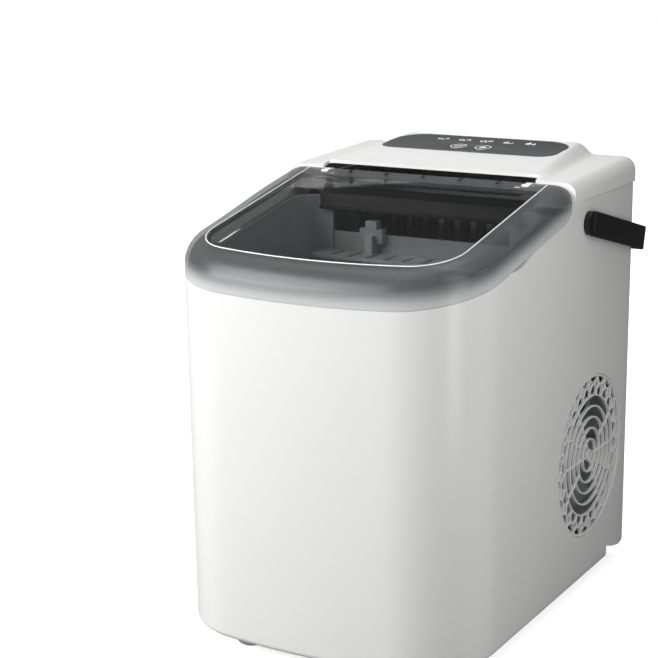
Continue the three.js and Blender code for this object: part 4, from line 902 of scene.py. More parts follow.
@dataclass(frozen=True)
class Plan:
    """A level outline with a bowed front, round front corners and small rear corners."""

    half: float
    front: float
    rear: float
    corner: float
    rear_corner: float
    bow: float

    def inset(self, by: float, rear: float | None = None) -> Plan:
        """The outline moved inwards, with its rear at a place of its own if one is given.

        Args:
            by: how far it moves.
            rear: the new rear's place.

        Returns:
            The new outline.
        """
        return Plan(
            self.half - by,
            self.front + by,
            self.rear - by if rear is None else rear,
            self.corner - by,
            max(self.rear_corner - by, 1.0),
            self.bow - by,
        )

    def drawn(self, name: str, z: float, side_steps: int = 1) -> Obj:
        """Draws the outline at a height, with lines and arcs.

        Args:
            name: the name of the new object.
            z: the outline's height.
            side_steps: the number of stretches that each straight side is drawn in.

        Returns:
            The closed outline.
        """
        back, inner = self.rear - self.rear_corner, self.half - self.rear_corner
        outline = Outline(name, (self.half, back, z))
        outline.arc((inner, back, z), QUARTER, 5).line((-inner, self.rear, z))
        outline.arc((-inner, back, z), QUARTER, 5)
        stretch = (self.corner_y - back) / side_steps
        side = [back + stretch * step for step in range(1, side_steps)]
        outline.line(*[(-self.half, y, z) for y in side])
        self._round_front(outline, z)
        outline.line(*[(self.half, y, z) for y in reversed(side)])
        return outline.closed()

    def front_drawn(self, name: str, z: float, rear: float) -> Obj:
        """Draws only the sides and the front, from one rear end to the other, as an open chain."""
        outline = self._round_front(Outline(name, (-self.half, rear, z)), z)
        return outline.line((self.half, rear, z)).open()

    @property
    def corner_y(self) -> float:
        """Where the straight sides end and the front corners start."""
        reach = math.sqrt((self.bow - self.corner) ** 2 - (self.half - self.corner) ** 2)
        return self.front + self.bow - reach

    def _round_front(self, outline: Outline, z: float) -> Outline:
        """Draws down the left side, round the front, and to the start of the right side.

        Args:
            outline: the outline, at the rear of the left side.
            z: its height.

        Returns:
            The outline, at the front of the right side.
        """
        bow_y = self.front + self.bow
        corner_x = self.half - self.corner
        corner_y = self.corner_y
        sweep = math.atan2(bow_y - corner_y, corner_x)
        outline.line((-self.half, corner_y, z))
        outline.arc((-corner_x, corner_y, z), sweep, 22)
        outline.arc((0, bow_y, z), math.pi - 2 * sweep, 18)
        return outline.arc((corner_x, corner_y, z), sweep, 22)


@dataclass(frozen=True)
class Seam:
    """The sloping parting plane between the housing and the lid."""

    slope: float = 0.1965
    rear_height: float = 273.9
    rear_y: float = 27.0
    shoulder_front: float = 12.0
    shoulder_run: float = 36.0
    shoulder_top: float = 284.5

    def height(self, y: float) -> float:
        """The plane's height at a given Y."""
        return self.rear_height + self.slope * (y - self.rear_y)

    def lean(self) -> Matrix:
        """Turns level heights above the plane into real ones.

        Returns:
            The matrix.
        """
        tilted = Matrix.Identity(4)
        tilted[2][1] = self.slope
        tilted[2][3] = self.height(0)
        return tilted

    def edge(self, lift: float = 0.0) -> list[Point]:
        """The housing's top edge seen from the side, as Y and Z, with its shoulder.

        Args:
            lift: how far it is moved up.

        Returns:
            Its points, from front to rear.
        """
        start, half_run = self.shoulder_front, self.shoulder_run / 2
        low, high = self.height(start) + lift, self.shoulder_top + lift
        handles = (
            (start, low),
            (start + half_run, low + half_run * self.slope),
            (start + half_run, high),
            (start + self.shoulder_run, high),
        )
        points = [(-LONG, self.height(-LONG) + lift)]
        for step in range(13):
            t = step / 12
            weights = ((1 - t) ** 3, 3 * t * (1 - t) ** 2, 3 * t * t * (1 - t), t**3)
            points.append([sum(w * place for w, place in zip(weights, p)) for p in zip(*handles)])
        points.append((LONG, high))
        return points

    def below(self, lift: float) -> Obj:
        """The room under the housing's top edge, moved up by lift."""
        return prism("below_edge", [*self.edge(lift), (LONG, 90), (-LONG, 90)])


HOUSING_PLAN = Plan(half=112.5, front=-150, rear=150, corner=60, rear_corner=6, bow=450)
SEAM = Seam()


# ---------------------------------------------------------------- housing


@dataclass
class Housing:
    """The white wrap-round shell, with its round bottom edge, heel, rim and openings."""

    wall: float = 2.5
    edge: float = 4.5
    heel: tuple[Point, ...] = (
        (112, 10.2),
        (124, 6.2),
        (137.5, 3.2),
        (143.5, 4.0),
        (147.5, 7.0),
        (150.2, 12),
    )
    notch_y: float = -61.5
    notch_radius: float = 47.0
    notch_depth: float = 2.0
    fan_radius: float = 60.3
    pivot_radius: float = 4.3
    drain: Point = (-40.0, 36.0)
    drain_radius: float = 10.3
    back_half: float = 95.5
    back_low: float = 28.0
    back_high: float = 258.0

    def build(self, bench: Bench) -> None:
        """Models the shell and settles it.

        Args:
            bench: where finished pieces are dressed and settled.
        """
        shell = combine(self._outer(), [self._inner()])
        combine(shell, self._cutters())
        softened(shell, 0.5, angle=50)
        bench.settle(shell, WHITE_ABS, "white_housing", "body_shell", smooth=25)

    def _outer(self) -> Obj:
        """The closed outer form, taller than the shell, with its bottom edge rolled in.

        Returns:
            The form.
        """
        rings = []
        for turn in quarter(5):
            plan = HOUSING_PLAN.inset(self.edge * (1 - math.sin(turn)))
            rings.append(plan.drawn("ring", self.edge * (1 - math.cos(turn))))
        rings.append(HOUSING_PLAN.drawn("ring", 310))
        return bridged("housing_shell", rings)

    def _inner(self) -> Obj:
        """The room inside the wall."""
        plan = HOUSING_PLAN.inset(self.wall)
        return bridged("housing_room", [plan.drawn("ring", -5), plan.drawn("ring", 330)])

    def _cutters(self) -> list[Obj]:
        """Everything that is cut from the wall: top edge, heel, notches and openings.

        Returns:
            The tools.
        """
        heel_front, heel_top = self.heel[0][0], self.heel[-1][1]
        notch_z = SEAM.height(self.notch_y) + self.notch_radius - self.notch_depth
        notch = (self.notch_y, notch_z)
        back_near = (-self.back_half, 140, self.back_low)
        back_far = (self.back_half, 160, self.back_high)
        return [
            prism("above_rim", [*SEAM.edge(), (LONG, TALL), (-LONG, TALL)]),
            prism("heel_room", [(heel_front, -20), *self.heel, (200, heel_top), (200, -20)]),
            bar("notch", "x", -WIDE, WIDE, notch, self.notch_radius, 128),
            block("back_opening", back_near, back_far),
            bar("fan_opening", "x", 100, 130, FAN_CENTRE, self.fan_radius, 128),
            bar("handle_holes", "x", -130, 130, HANDLE_PIVOT, self.pivot_radius, 32),
            bar("drain_hole", "x", -130, -100, self.drain, self.drain_radius, 48),
        ]


@dataclass
class RearCover:
    """The white cover over the works: a raised platform that ramps down to round cheeks."""

    panel: ControlPanel
    half: float = 114.0
    rear: float = 153.0
    bottom: float = 284.8
    shoulder_drop: float = 13.5
    cheek_front: float = 31.2
    cheek_rear: float = 150.0
    lip_y: float = 39.0
    lip_z: float = 301.3
    cheek_z: tuple[float, float] = (298.2, 303.0)
    platform_half: tuple[float, float] = (80.0, 68.0)
    ramp: float = 13.0
    cheek_round: float = 9.0
    rear_round: float = 12.0
    rear_drop: float = 10.0
    rear_narrowing: float = 6.0
    wall: float = 2.5
    skirt_half: float = 91.5
    skirt_drop: float = 10.5
    hinge_half: float = 76.3
    knuckle_width: float = 5.7
    knuckle_radius: float = 2.8
    pin_radius: float = 1.9
    bore_x: tuple[float, float] = (70.0, 84.0)
    ramp_stations: tuple[float, ...] = (51.0, 63.0, 75.0)
    panel_stations: tuple[float, ...] = (104.0, 121.0)

    def build(self, bench: Bench) -> None:
        """Models the cover, with the panel's pocket, and settles it.

        Args:
            bench: where finished pieces are dressed and settled.
        """
        low = self.bottom - self.shoulder_drop
        cover = combine(
            self._form("rear_cover", 0, self.cheek_front, low),
            [
                self._form("cover_room", self.wall, self.cheek_front + self.wall, low - 1),
                SEAM.below(GAP),
                self._front_notch(self.lip_y, self.panel.rear_z),
                self._front_notch(self.lip_y + self.wall + 1, self.cheek_z[0]),
                self.panel.pocket(),
            ],
        )
        combine(cover, [self._skirt(), *self._lugs()], "UNION")
        softened(cover, 0.9, segments=3, angle=48)
        bench.settle(cover, COVER_ABS, "white_housing", "top_cover", smooth=30)

    def _section(self, y: float, thickness: float, rounding: float, bottom: float) -> list[Point]:
        """One cross-section of the cover, from side to side.

        Args:
            y: the section's place.
            thickness: how far it lies inside the outer surface.
            rounding: from 0 to 1 where the section shrinks towards the rear edge.
            bottom: the height of its lower edge.

        Returns:
            The section's corners, as X and Z.
        """
        panel = self.panel
        length = part_way(y, self.cheek_front, self.cheek_rear)
        cheek = self.cheek_z[0] + (self.cheek_z[1] - self.cheek_z[0]) * length
        heights = (self.cheek_z[0], self.lip_z, panel.front_z, panel.rear_z)
        places = (self.cheek_front, self.lip_y, panel.front_y, panel.rear_y)
        crest = heights[0] + sum(
            (heights[n + 1] - heights[n]) * part_way(y, places[n], places[n + 1]) for n in range(3)
        )
        drop = thickness + self.rear_drop * rounding
        top = max(crest, cheek + 0.2) - drop
        shoulder = min(cheek - drop, top - 0.1)
        half = self.half - thickness - self.rear_narrowing * rounding
        half_top = self.platform_half[0] + (self.platform_half[1] - self.platform_half[0]) * length
        radius = min(self.cheek_round - thickness, shoulder - bottom - 0.5)
        right: list[Point] = []
        for share in (step / 8 for step in range(9)):
            right.append((half_top + self.ramp * share, top + (shoulder - top) * eased(share)))
        for turn in quarter(8):
            x = half - radius + radius * math.sin(turn)
            right.append((x, shoulder - radius + radius * math.cos(turn)))
        right.append((half, bottom))
        return right + [(-x, z) for x, z in reversed(right)]

    def _form(self, name: str, thickness: float, front: float, bottom: float) -> Obj:
        """The cover's outer or inner form, closed, from its front to its rolled rear edge.

        Args:
            name: the form's name.
            thickness: how far it lies inside the outer surface.
            front: the first section's place.
            bottom: the height of its lower edge.

        Returns:
            The closed form.
        """
        panel = self.panel
        stations = [front, self.lip_y, *self.ramp_stations]
        stations += [panel.front_y, *self.panel_stations, panel.rear_y]
        sections = [(y, 0.0) for y in stations]
        for turn in quarter(8):
            y = self.rear - self.rear_round + (self.rear_round - thickness) * math.sin(turn)
            sections.append((y, 1 - math.cos(turn)))
        rings = []
        for y, rounding in sections:
            section = self._section(y, thickness, rounding, bottom)
            rings.append(polygon("ring", [(x, y, z) for x, z in section]))
        return bridged(name, rings, axis=1)

    def _front_notch(self, depth_y: float, top: float) -> Obj:
        """The room ahead of the lip, between the cheeks, where the lid's bar turns."""
        reach = self.platform_half[0] + 4
        return block("lip_notch", (-reach, self.cheek_front - 5, 270), (reach, depth_y, top))

    def _skirt(self) -> Obj:
        """The tongue that hangs over the top of the back panel.

        Returns:
            The tongue.
        """
        inner, low = self.rear - self.wall + GAP, self.bottom - self.skirt_drop
        half = self.skirt_half
        return block("cover_skirt", (-half, inner, low), (half, self.rear, self.bottom + 6))

    def _lugs(self) -> list[Obj]:
        """The two knuckles that hold the lid's pins, each on a short arm from a web.

        Returns:
            The bored knuckles.
        """
        y, z = LID_HINGE
        made = []
        for side in (-1, 1):
            near, far = on_side(side, self.hinge_half, self.hinge_half + self.knuckle_width)
            web_near, web_far = on_side(side, self.hinge_half, self.platform_half[0] + 8)
            web_top = z + self.knuckle_radius
            rear = self.cheek_front + self.wall + 1
            lug = bar("lug", "x", near, far, LID_HINGE, self.knuckle_radius, 32)
            arm = block("arm", (near, y, z - 5), (far, self.cheek_front + 1, z))
            web = block("web", (web_near, self.cheek_front, self.bottom), (web_far, rear, web_top))
            combine(lug, [arm, web], "UNION")
            bore_ends = on_side(side, *self.bore_x)
            bore = bar("bore", "x", *bore_ends, LID_HINGE, self.pin_radius, 24)
            made.append(combine(lug, [bore]))
        return made


# ---------------------------------------------------------------- control panel


@dataclass
class ControlPanel:
    """The dark panel let into the platform, with its printed marks and two keys."""

    front_y: float = 87.5
    front_z: float = 306.0
    rear_y: float = 139.0
    rear_z: float = 310.5
    half: float = 70.5
    front_corner: float = 12.0
    rear_corner: float = 22.0
    thickness: float = 1.0
    key_radius: float = 6.5
    key_round: float = 1.2
    key_x: float = 10.0
    key_y: float = 16.0
    key_foot: float = -0.8
    key_gap: float = 0.25
    stem_radius: float = 2.4
    stem_hole: float = 3.9
    stem_foot: float = -7.1
    key_print: float = 0.46
    mark_print: float = -0.02
    mark_shift: float = 2.5
    mark_margin: float = 13.0
    lamp_pitch: float = 18.0
    ink: float = 0.12

    @property
    def tilt(self) -> float:
        """The panel's slope, in radians."""
        return math.atan2(self.rear_z - self.front_z, self.rear_y - self.front_y)

    @property
    def length(self) -> float:
        """The panel's length along its own slope."""
        return math.hypot(self.rear_z - self.front_z, self.rear_y - self.front_y)

    def on_panel(self) -> Matrix:
        """From the panel's own plane to the machine."""
        lift = Matrix.Translation((0, self.front_y, self.front_z))
        return lift @ Matrix.Rotation(self.tilt, 4, "X")

    def _outline(self, name: str, margin: float, z: float) -> Obj:
        """The panel's edge, moved outwards by a margin.

        Args:
            name: the new object's name.
            margin: how far it is moved outwards.
            z: its height over the panel.

        Returns:
            The closed outline.
        """
        half, rear = self.half + margin, self.length + margin
        near, far = self.front_corner + margin, self.rear_corner + margin
        outline = Outline(name, (near - half, -margin, z))
        outline.line((half - near, -margin, z))
        outline.arc((half - near, near - margin, z), math.pi / 2, 14)
        outline.line((half, rear - far, z))
        outline.arc((half - far, rear - far, z), math.pi / 2, 18)
        outline.line((far - half, rear, z))
        outline.arc((far - half, rear - far, z), math.pi / 2, 18)
        outline.line((-half, near - margin, z))
        outline.arc((near - half, near - margin, z), math.pi / 2, 14)
        return outline.closed()

    def pocket(self) -> Obj:
        """The cutter for the recess that the panel lies in, with the keys' stem holes.

        Returns:
            The tool, in its place.
        """
        room = raised(self._outline("panel_pocket", GAP, -self.thickness - GAP), (0, 0, 8))
        for side in (-1, 1):
            stem = bar("stem_hole", "z", -8, 0, (side * self.key_x, self.key_y), self.stem_hole, 32)
            combine(room, [stem], "UNION")
        room.data.transform(self.on_panel())
        return room

    def build(self, bench: Bench) -> None:
        """Models the panel, its marks and its keys, and settles them.

        Args:
            bench: where finished pieces are dressed and settled.
        """
        plate = raised(self._outline("control_panel", 0, -self.thickness), (0, 0, self.thickness))
        for side in (-1, 1):
            place = (side * self.key_x, self.key_y)
            hole = bar("key_hole", "z", -3, 3, place, self.key_radius + self.key_gap, 64)
            combine(plate, [hole])
        softened(plate, 0.25, angle=50)
        self._settle(bench, plate, PANEL_FILM, "control_overlay")
        self._key(bench, -1, Body.POWER_KEY, "power_button")
        self._key(bench, 1, Body.SELECT_KEY, "select_button")
        marks = joined("panel_marks", [self._mark(number) for number in range(5)])
        self._settle(bench, marks, PRINT_INK)

    def _settle(
        self,
        bench: Bench,
        obj: Obj,
        finish: Finish,
        *stands_for: str,
        body: Body = Body.HOUSING,
        smooth: float = 30.0,
    ) -> None:
        """Lays a piece on the panel's slope and settles it. The arguments are the bench's own."""
        obj.data.transform(self.on_panel())
        bench.settle(obj, finish, "dark_panel", *stands_for, body=body, smooth=smooth)

    def _key(self, bench: Bench, side: int, body: Body, node: str) -> None:
        """One round key: a domed cap on its stem, with a printed ring and sign.

        Args:
            bench: where it is settled.
            side: -1 for the left key, with three strokes, and 1 for the right one, with a lozenge.
            body: the body that it rides on.
            node: the solid that it replaces.
        """
        x, y = side * self.key_x, self.key_y
        profile = [(x, y, 0.55)]
        for turn in quarter(6):
            reach = self.key_radius - self.key_round + self.key_round * math.sin(turn)
            profile.append((x + reach, y, -0.45 + 0.85 * math.cos(turn)))
        stem = x + self.stem_radius
        profile += [(x + self.key_radius, y, self.key_foot), (stem, y, self.key_foot)]
        profile += [(stem, y, self.stem_foot), (x, y, self.stem_foot)]
        cap = turned(f"{node}_cap", profile, (x, y, 0), (0, 0, 1), 64)
        self._settle(bench, cap, PANEL_FILM, node, body=body, smooth=40)
        parts = [self._ring(x, y, self.key_radius - 1.0, 0.7, 0.42)]
        z = self.key_print
        if side < 0:
            parts += [self._stroke(x + shift, y, 0.95, 5.2, z) for shift in (-2.3, 0, 2.3)]
        else:
            lozenge = bar("lozenge", "z", z, z + self.ink, (x, y), 2.5, 32)
            there, back = Matrix.Translation((x, y, 0)), Matrix.Translation((-x, -y, 0))
            lozenge.data.transform(there @ Matrix.Diagonal((1.25, 0.8, 1.0, 1.0)) @ back)
            parts.append(lozenge)
        self._settle(bench, joined(f"{node}_sign", parts), PRINT_INK, body=body)

    def _ring(self, x: float, y: float, radius: float, width: float, z: float) -> Obj:
        """A thin printed ring.

        Args:
            x: its middle across the panel.
            y: its middle along the panel.
            radius: its inner radius.
            width: the line's width.
            z: the height of its underside over the panel.

        Returns:
            The ring.
        """
        inner, outer = x + radius, x + radius + width
        top = z + self.ink
        profile = [(inner, y, z), (outer, y, z - 0.1), (outer, y, top), (inner, y, top)]
        return turned("printed_ring", profile, (x, y, 0), (0, 0, 1), 64)

    def _stroke(
        self, x: float, y: float, width: float, length: float, z: float, across: bool = False
    ) -> Obj:
        """A short printed stroke with round ends, along the panel or across it.

        Args:
            x: its middle across the panel.
            y: its middle along the panel.
            width: its width.
            length: its length.
            z: the height of its underside over the panel.
            across: True where it runs across the panel.

        Returns:
            The stroke.
        """
        half, straight = width / 2, (length - width) / 2
        outline = Outline("stroke", (x + half, y - straight, z))
        outline.line((x + half, y + straight, z)).arc((x, y + straight, z), 2 * QUARTER, 8)
        outline.line((x - half, y - straight, z)).arc((x, y - straight, z), 2 * QUARTER, 8)
        stroke = raised(outline.closed(), (0, 0, self.ink))
        if across:
            stroke.data.transform(turn_about((x, y, 0), (0, 0, 1), QUARTER))
        return stroke

    def _cube(self, x: float, y: float, size: float, z: float) -> Obj:
        """A little ice cube in outline: a leaning square with an open middle.

        Args:
            x: its middle across the panel.
            y: its middle along the panel.
            size: its width and length.
            z: the height of its underside over the panel.

        Returns:
            The cube.
        """
        half, line = size / 2, 0.75
        square = block("cube", (x - half, y - half, z), (x + half, y + half, z + self.ink))
        hole = block(
            "cube_middle",
            (x - half + line, y - half + line, z - 1),
            (x + half - line, y + half - line, z + 1),
        )
        combine(square, [hole])
        square.data.transform(turn_about((x, y, 0), (0, 0, 1), math.radians(12)))
        return square

    def _mark(self, number: int) -> Obj:
        """One of the five printed signs: cube sizes, a full basket and a water drop.

        Args:
            number: the sign's number, from the left.

        Returns:
            The sign.
        """
        x = (number - 2) * self.lamp_pitch + self.mark_shift
        y, z = self.length - self.mark_margin, self.mark_print
        if number < 3:
            size = 3.2 + 0.7 * number
            parts = [
                self._cube(x - 2.6, y - 0.8, size, z),
                self._cube(x + 2.8, y + 0.8, size * 0.8, z),
                bar("dot", "z", z, z + self.ink, (x + 0.6, y - 2.6), 0.9, 20),
            ]
        elif number == 3:
            parts = [
                self._cube(x - 1.8, y + 1.2, 2.8, z),
                self._stroke(x, y - 2.4, 1.0, 7.4, z, across=True),
                self._stroke(x - 3.4, y - 0.8, 1.0, 3.6, z),
                self._stroke(x + 3.4, y - 0.8, 1.0, 3.6, z),
            ]
        else:
            parts = [self._drop(x - 2.0, y, 2.3, z), self._drop(x + 2.6, y - 0.8, 1.5, z)]
        return joined("mark", parts)

    def _drop(self, x: float, y: float, radius: float, z: float) -> Obj:
        """A water drop: a round bottom drawn up to a point.

        Args:
            x: its middle across the panel.
            y: its middle along the panel.
            radius: the radius of its round end.
            z: the height of its underside over the panel.

        Returns:
            The drop.
        """
        tip = 2.1 * radius
        lean = math.acos(radius / tip)
        outline = Outline("drop", (x, y + tip, z))
        outline.line((x - radius * math.sin(lean), y + radius * math.cos(lean), z))
        outline.arc((x, y, z), 4 * QUARTER - 2 * lean, 20)
        return raised(outline.closed(), (0, 0, self.ink))


# ---------------------------------------------------------------- lid


@dataclass
class Lid:
    """The tilting smoked lid: a domed skirt, a flat window, a painted edge highlight and a hinge
    bar.
    """

    crown: Plan = Plan(half=94.0, front=-133.2, rear=29.3, corner=32, rear_corner=1, bow=420)
    rear: float = 29.3
    window_rear: float = 15.0
    height: float = 22.0
    lip: float = 5.0
    foot: float = 2.5
    wall: float = 2.5
    border: float = 1.5
    glass: float = 1.2
    edge_radius: float = 0.5
    round_y: float = -90.0
    sharp_y: float = 0.0
    rear_power: float = 0.6
    dome_steps: int = 12
    side_steps: int = 12
    hinge_half: float = 76.0
    knuckle_room: float = 6.3
    pin_room: float = 6.1
    pin_radius: float = 1.9
    bar_front: float = 22.0
    bar_low: float = 288.0
    bore_end: float = 80.0
    rib_pitch: float = 29.0
    rib_half: float = 0.7

    def build(self, bench: Bench) -> None:
        """Models the lid's pieces and settles them.

        Args:
            bench: where finished pieces are dressed and settled.
        """
        room = self._dome("dome_room", self.wall, self.rear + 1)
        skirt = combine(self._dome("lid_skirt", 0, self.rear), [room])
        combine(skirt, [self._seat(), self._opening()])
        skirt.data.transform(SEAM.lean())
        combine(skirt, [SEAM.below(GAP), *self._slots()])
        softened(skirt, 0.35, angle=50)
        datum = bench.datum
        seam_height = datum.z / MM + SEAM.height(0) - SEAM.slope * datum.y / MM
        finish = replace(LID_SKIRT, seam_slope=SEAM.slope, seam_height=seam_height)
        for obj, look, smooth, nodes in (
            (skirt, finish, 35, ["lid_frame"]),
            (self._hinge_bar(), SMOKED_BAR, 35, []),
            (self._window(), LID_WINDOW, 30, ["lid_window"]),
            # The near-white bead is a painted highlight on the window's edge.
            (self._painted_highlight_bead(), EDGE_HIGHLIGHT_PAINT, 60, []),
        ):
            bench.settle(obj, look, "smoked_lid", *nodes, body=Body.LID, smooth=smooth)

    def _dome(self, name: str, thickness: float, rear: float) -> Obj:
        """The skirt's outer or inner form: a short upright lip, then a round.

        The round is a true one at the front and squarer towards the rear cover's cheeks. Level
        rings are bridged first, and their points are then moved on to it.

        Args:
            name: the form's name.
            thickness: how far it lies inside the outer surface.
            rear: where it ends at the rear.

        Returns:
            The closed form.
        """
        levels = range(-1, self.dome_steps + 1)
        plans = [plan.inset(thickness, rear) for plan in (HOUSING_PLAN, self.crown)]
        plans = [replace(plan, rear_corner=1.0) for plan in plans]
        form, crown = [
            bridged(name, [plan.drawn("ring", z, self.side_steps) for z in levels])
            for plan in plans
        ]
        rise = self.height - self.lip - thickness
        for point, end in zip(form.data.vertices, crown.data.vertices):
            turn = max(point.co.z, 0) / self.dome_steps * QUARTER
            power = self._power(point.co.y)
            moved = point.co.lerp(end.co, 1 - math.cos(turn) ** power)
            moved.z = self.lip + rise * math.sin(turn) ** power
            if point.co.z < 0:
                moved.z = -self.foot - thickness
            point.co = moved
        bpy.data.objects.remove(crown)
        return form

    def _power(self, y: float) -> float:
        """The section's exponent at a place: 1 is a quarter-round, and less is squarer."""
        return 1 - (1 - self.rear_power) * eased(part_way(y, self.round_y, self.sharp_y))

    def _slots(self) -> list[Obj]:
        """The rooms at the lid's rear edge for the cover's two knuckles.

        Returns:
            The tools.
        """
        made = []
        for side in (-1, 1):
            near, far = on_side(side, self.hinge_half, self.hinge_half + self.knuckle_room)
            made.append(block("slot", (near, self.bar_front, 280), (far, self.rear + 2, 310)))
        return made

    def _seat(self) -> Obj:
        """The rebate that the window drops into."""
        plan = self.crown.inset(self.border - GAP, self.window_rear + GAP)
        return raised(plan.drawn("seat", self.height - self.glass - GAP), (0, 0, 6))

    def _opening(self) -> Obj:
        """The opening under the window."""
        plan = self.crown.inset(self.border * 2, self.window_rear - self.border)
        return raised(plan.drawn("opening", -2), (0, 0, self.height + 6))

    def _window(self) -> Obj:
        """The clear plate, with a soft edge.

        Returns:
            The plate.
        """
        plan = self.crown.inset(self.border, self.window_rear)
        plate = raised(plan.drawn("lid_window_plate", self.height - self.glass), (0, 0, self.glass))
        softened(plate, 0.3, angle=50)
        plate.data.transform(SEAM.lean())
        return plate

    def _painted_highlight_bead(self) -> Obj:
        """A near-white bead along the window's two sides and front: a painted highlight for the
        light on its polished edge.

        Returns:
            The bead.
        """
        edge = self.crown.front_drawn("window_highlight_bead", self.height - 0.1, self.rear - 1.5)
        edge.data.transform(SEAM.lean())
        bpy.ops.object.convert(target="CURVE")
        curve = bpy.context.active_object.data
        curve.bevel_depth = self.edge_radius
        curve.bevel_resolution = 3
        curve.use_fill_caps = True
        bpy.ops.object.convert(target="MESH")
        return bpy.context.active_object

    def _hinge_bar(self) -> Obj:
        """The thick bar under the lid's rear edge, with its bores and stiffening ribs.

        Returns:
            The bar.
        """
        rear, front, half = self.rear, self.bar_front, self.hinge_half
        top_front, top_rear = (SEAM.height(y) + self.height for y in (front, rear))
        under = self.wall - 0.2
        profile = [(front, self.bar_low), (rear, self.bar_low)]
        profile += [(rear, top_rear - under), (front, top_front - under)]
        section = polygon("lid_hinge_bar", [(-half, *corner) for corner in profile])
        whole = raised(section, (2 * half, 0, 0))
        low, high = (front + 1, top_front - 1.5), (rear - 0.4, top_rear + 0.2)
        for x in (n * self.rib_pitch for n in range(-2, 3)):
            rib = block("rib", (x - self.rib_half, *low), (x + self.rib_half, *high))
            combine(whole, [rib], "UNION")
        for side in (-1, 1):
            ends = on_side(side, half - self.pin_room, self.bore_end)
            combine(whole, [bar("pin_bore", "x", *ends, LID_HINGE, self.pin_radius, 24)])
        return softened(whole, 0.3, angle=50)


# ---------------------------------------------------------------- fan guard


@dataclass
class FanGuard:
    """The round guard: rings and straight spokes inside a honeycomb band."""

    centre: Point = FAN_CENTRE
    face: float = 112.3
    depth: float = 2.4
    radius: float = 60.0
    first_ring: float = 4.0
    ring_pitch: float = 8.1
    ring_count: int = 6
    rib: float = 1.15
    long_spokes: tuple[float, ...] = (0, 120, 180, 300)
    short_spokes: tuple[float, ...] = (30, 150, 210, 330)
    cells: int = 24
    first_cell: float = 9.5
    flat_half: float = 2.2
    middle: float = 52.8
    reach: float = 4.0
    rim: float = 1.8

    @property
    def last_ring(self) -> float:
        """The radius of the largest ring."""
        return self.first_ring + self.ring_pitch * (self.ring_count - 1)

    def build(self, bench: Bench) -> None:
        """Models the guard and settles it.

        Args:
            bench: where finished pieces are dressed and settled.
        """
        rings = range(self.ring_count)
        parts = [self._ring(self.first_ring + n * self.ring_pitch, self.rib) for n in rings]
        parts.append(self._ring(self.radius - self.rim / 2, self.rim))
        for skipped, angles in ((0, self.long_spokes), (2, self.short_spokes)):
            inner = self.first_ring + skipped * self.ring_pitch
            for angle in angles:
                parts.append(self._rib_between((inner, angle), (self.last_ring, angle)))
        parts.append(copies(self._cell(), self._cell_turns()))
        guard = joined("fan_guard", parts)
        bench.settle(guard, GUARD_ABS, "white_housing", "fan_grille", smooth=35)

    def _cell_turns(self) -> list[Matrix]:
        """The places of the honeycomb's pitches round the guard.

        Returns:
            A turn for each pitch.
        """
        step = 360 / self.cells
        angles = [self.first_cell + n * step for n in range(self.cells)]
        return [turn_about((0, *self.centre), (1, 0, 0), math.radians(angle)) for angle in angles]

    def _at(self, radius: float, angle: float) -> tuple[float, float]:
        """A point's Y and Z from its radius and its angle in degrees.

        Args:
            radius: the distance from the guard's centre.
            angle: the angle from the rear, in degrees.

        Returns:
            Its Y and Z.
        """
        turn = math.radians(angle)
        y, z = self.centre
        return y + radius * math.cos(turn), z + radius * math.sin(turn)

    def _ring(self, radius: float, width: float) -> Obj:
        """One ring of the guard, with its front edges rounded over.

        Args:
            radius: its middle radius.
            width: its width.

        Returns:
            The ring.
        """
        y, z = self.centre
        back, front = self.face - self.depth, self.face
        soft = min(0.35, width / 4)
        low, high = z + radius - width / 2, z + radius + width / 2
        profile = [(back, low), (front - soft, low), (front, low + soft)]
        profile += [(front, high - soft), (front - soft, high), (back, high)]
        corners = [(across, y, up) for across, up in profile]
        return turned("guard_ring", corners, (0, y, z), (1, 0, 0), 96)

    def _rib_between(self, start: Point, end: Point) -> Obj:
        """A straight rib between two points given by radius and angle.

        Args:
            start: the radius and angle of one end.
            end: those of the other end.

        Returns:
            The rib.
        """
        near, far = Vector(self._at(*start)), Vector(self._at(*end))
        side = (far - near).normalized()
        across = Vector((-side.y, side.x)) * self.rib / 2
        back = self.face - self.depth
        corners = [near - across, far - across, far + across, near + across]
        outline = polygon("guard_rib", [(back, *corner) for corner in corners])
        return softened(raised(outline, (self.depth - 0.06, 0, 0)), 0.25, segments=1, angle=60)

    def _cell(self) -> Obj:
        """One pitch of the honeycomb: a short flat, four slanting ribs and two upright ones.

        Returns:
            The ribs, as one object.
        """
        half_pitch = 180 / self.cells
        flat = math.degrees(self.flat_half / self.middle)
        high, low = self.middle + self.reach, self.middle - self.reach
        ribs = [self._rib_between((self.middle, -flat), (self.middle, flat))]
        for side in (-1, 1):
            for end in (high, low):
                ribs.append(self._rib_between((self.middle, side * flat), (end, side * half_pitch)))
        ribs.append(self._rib_between((high, half_pitch), (self.radius - 0.5, half_pitch)))
        ribs.append(self._rib_between((self.last_ring, half_pitch), (low, half_pitch)))
        return joined("guard_cell", ribs)


# ---------------------------------------------------------------- carry handle


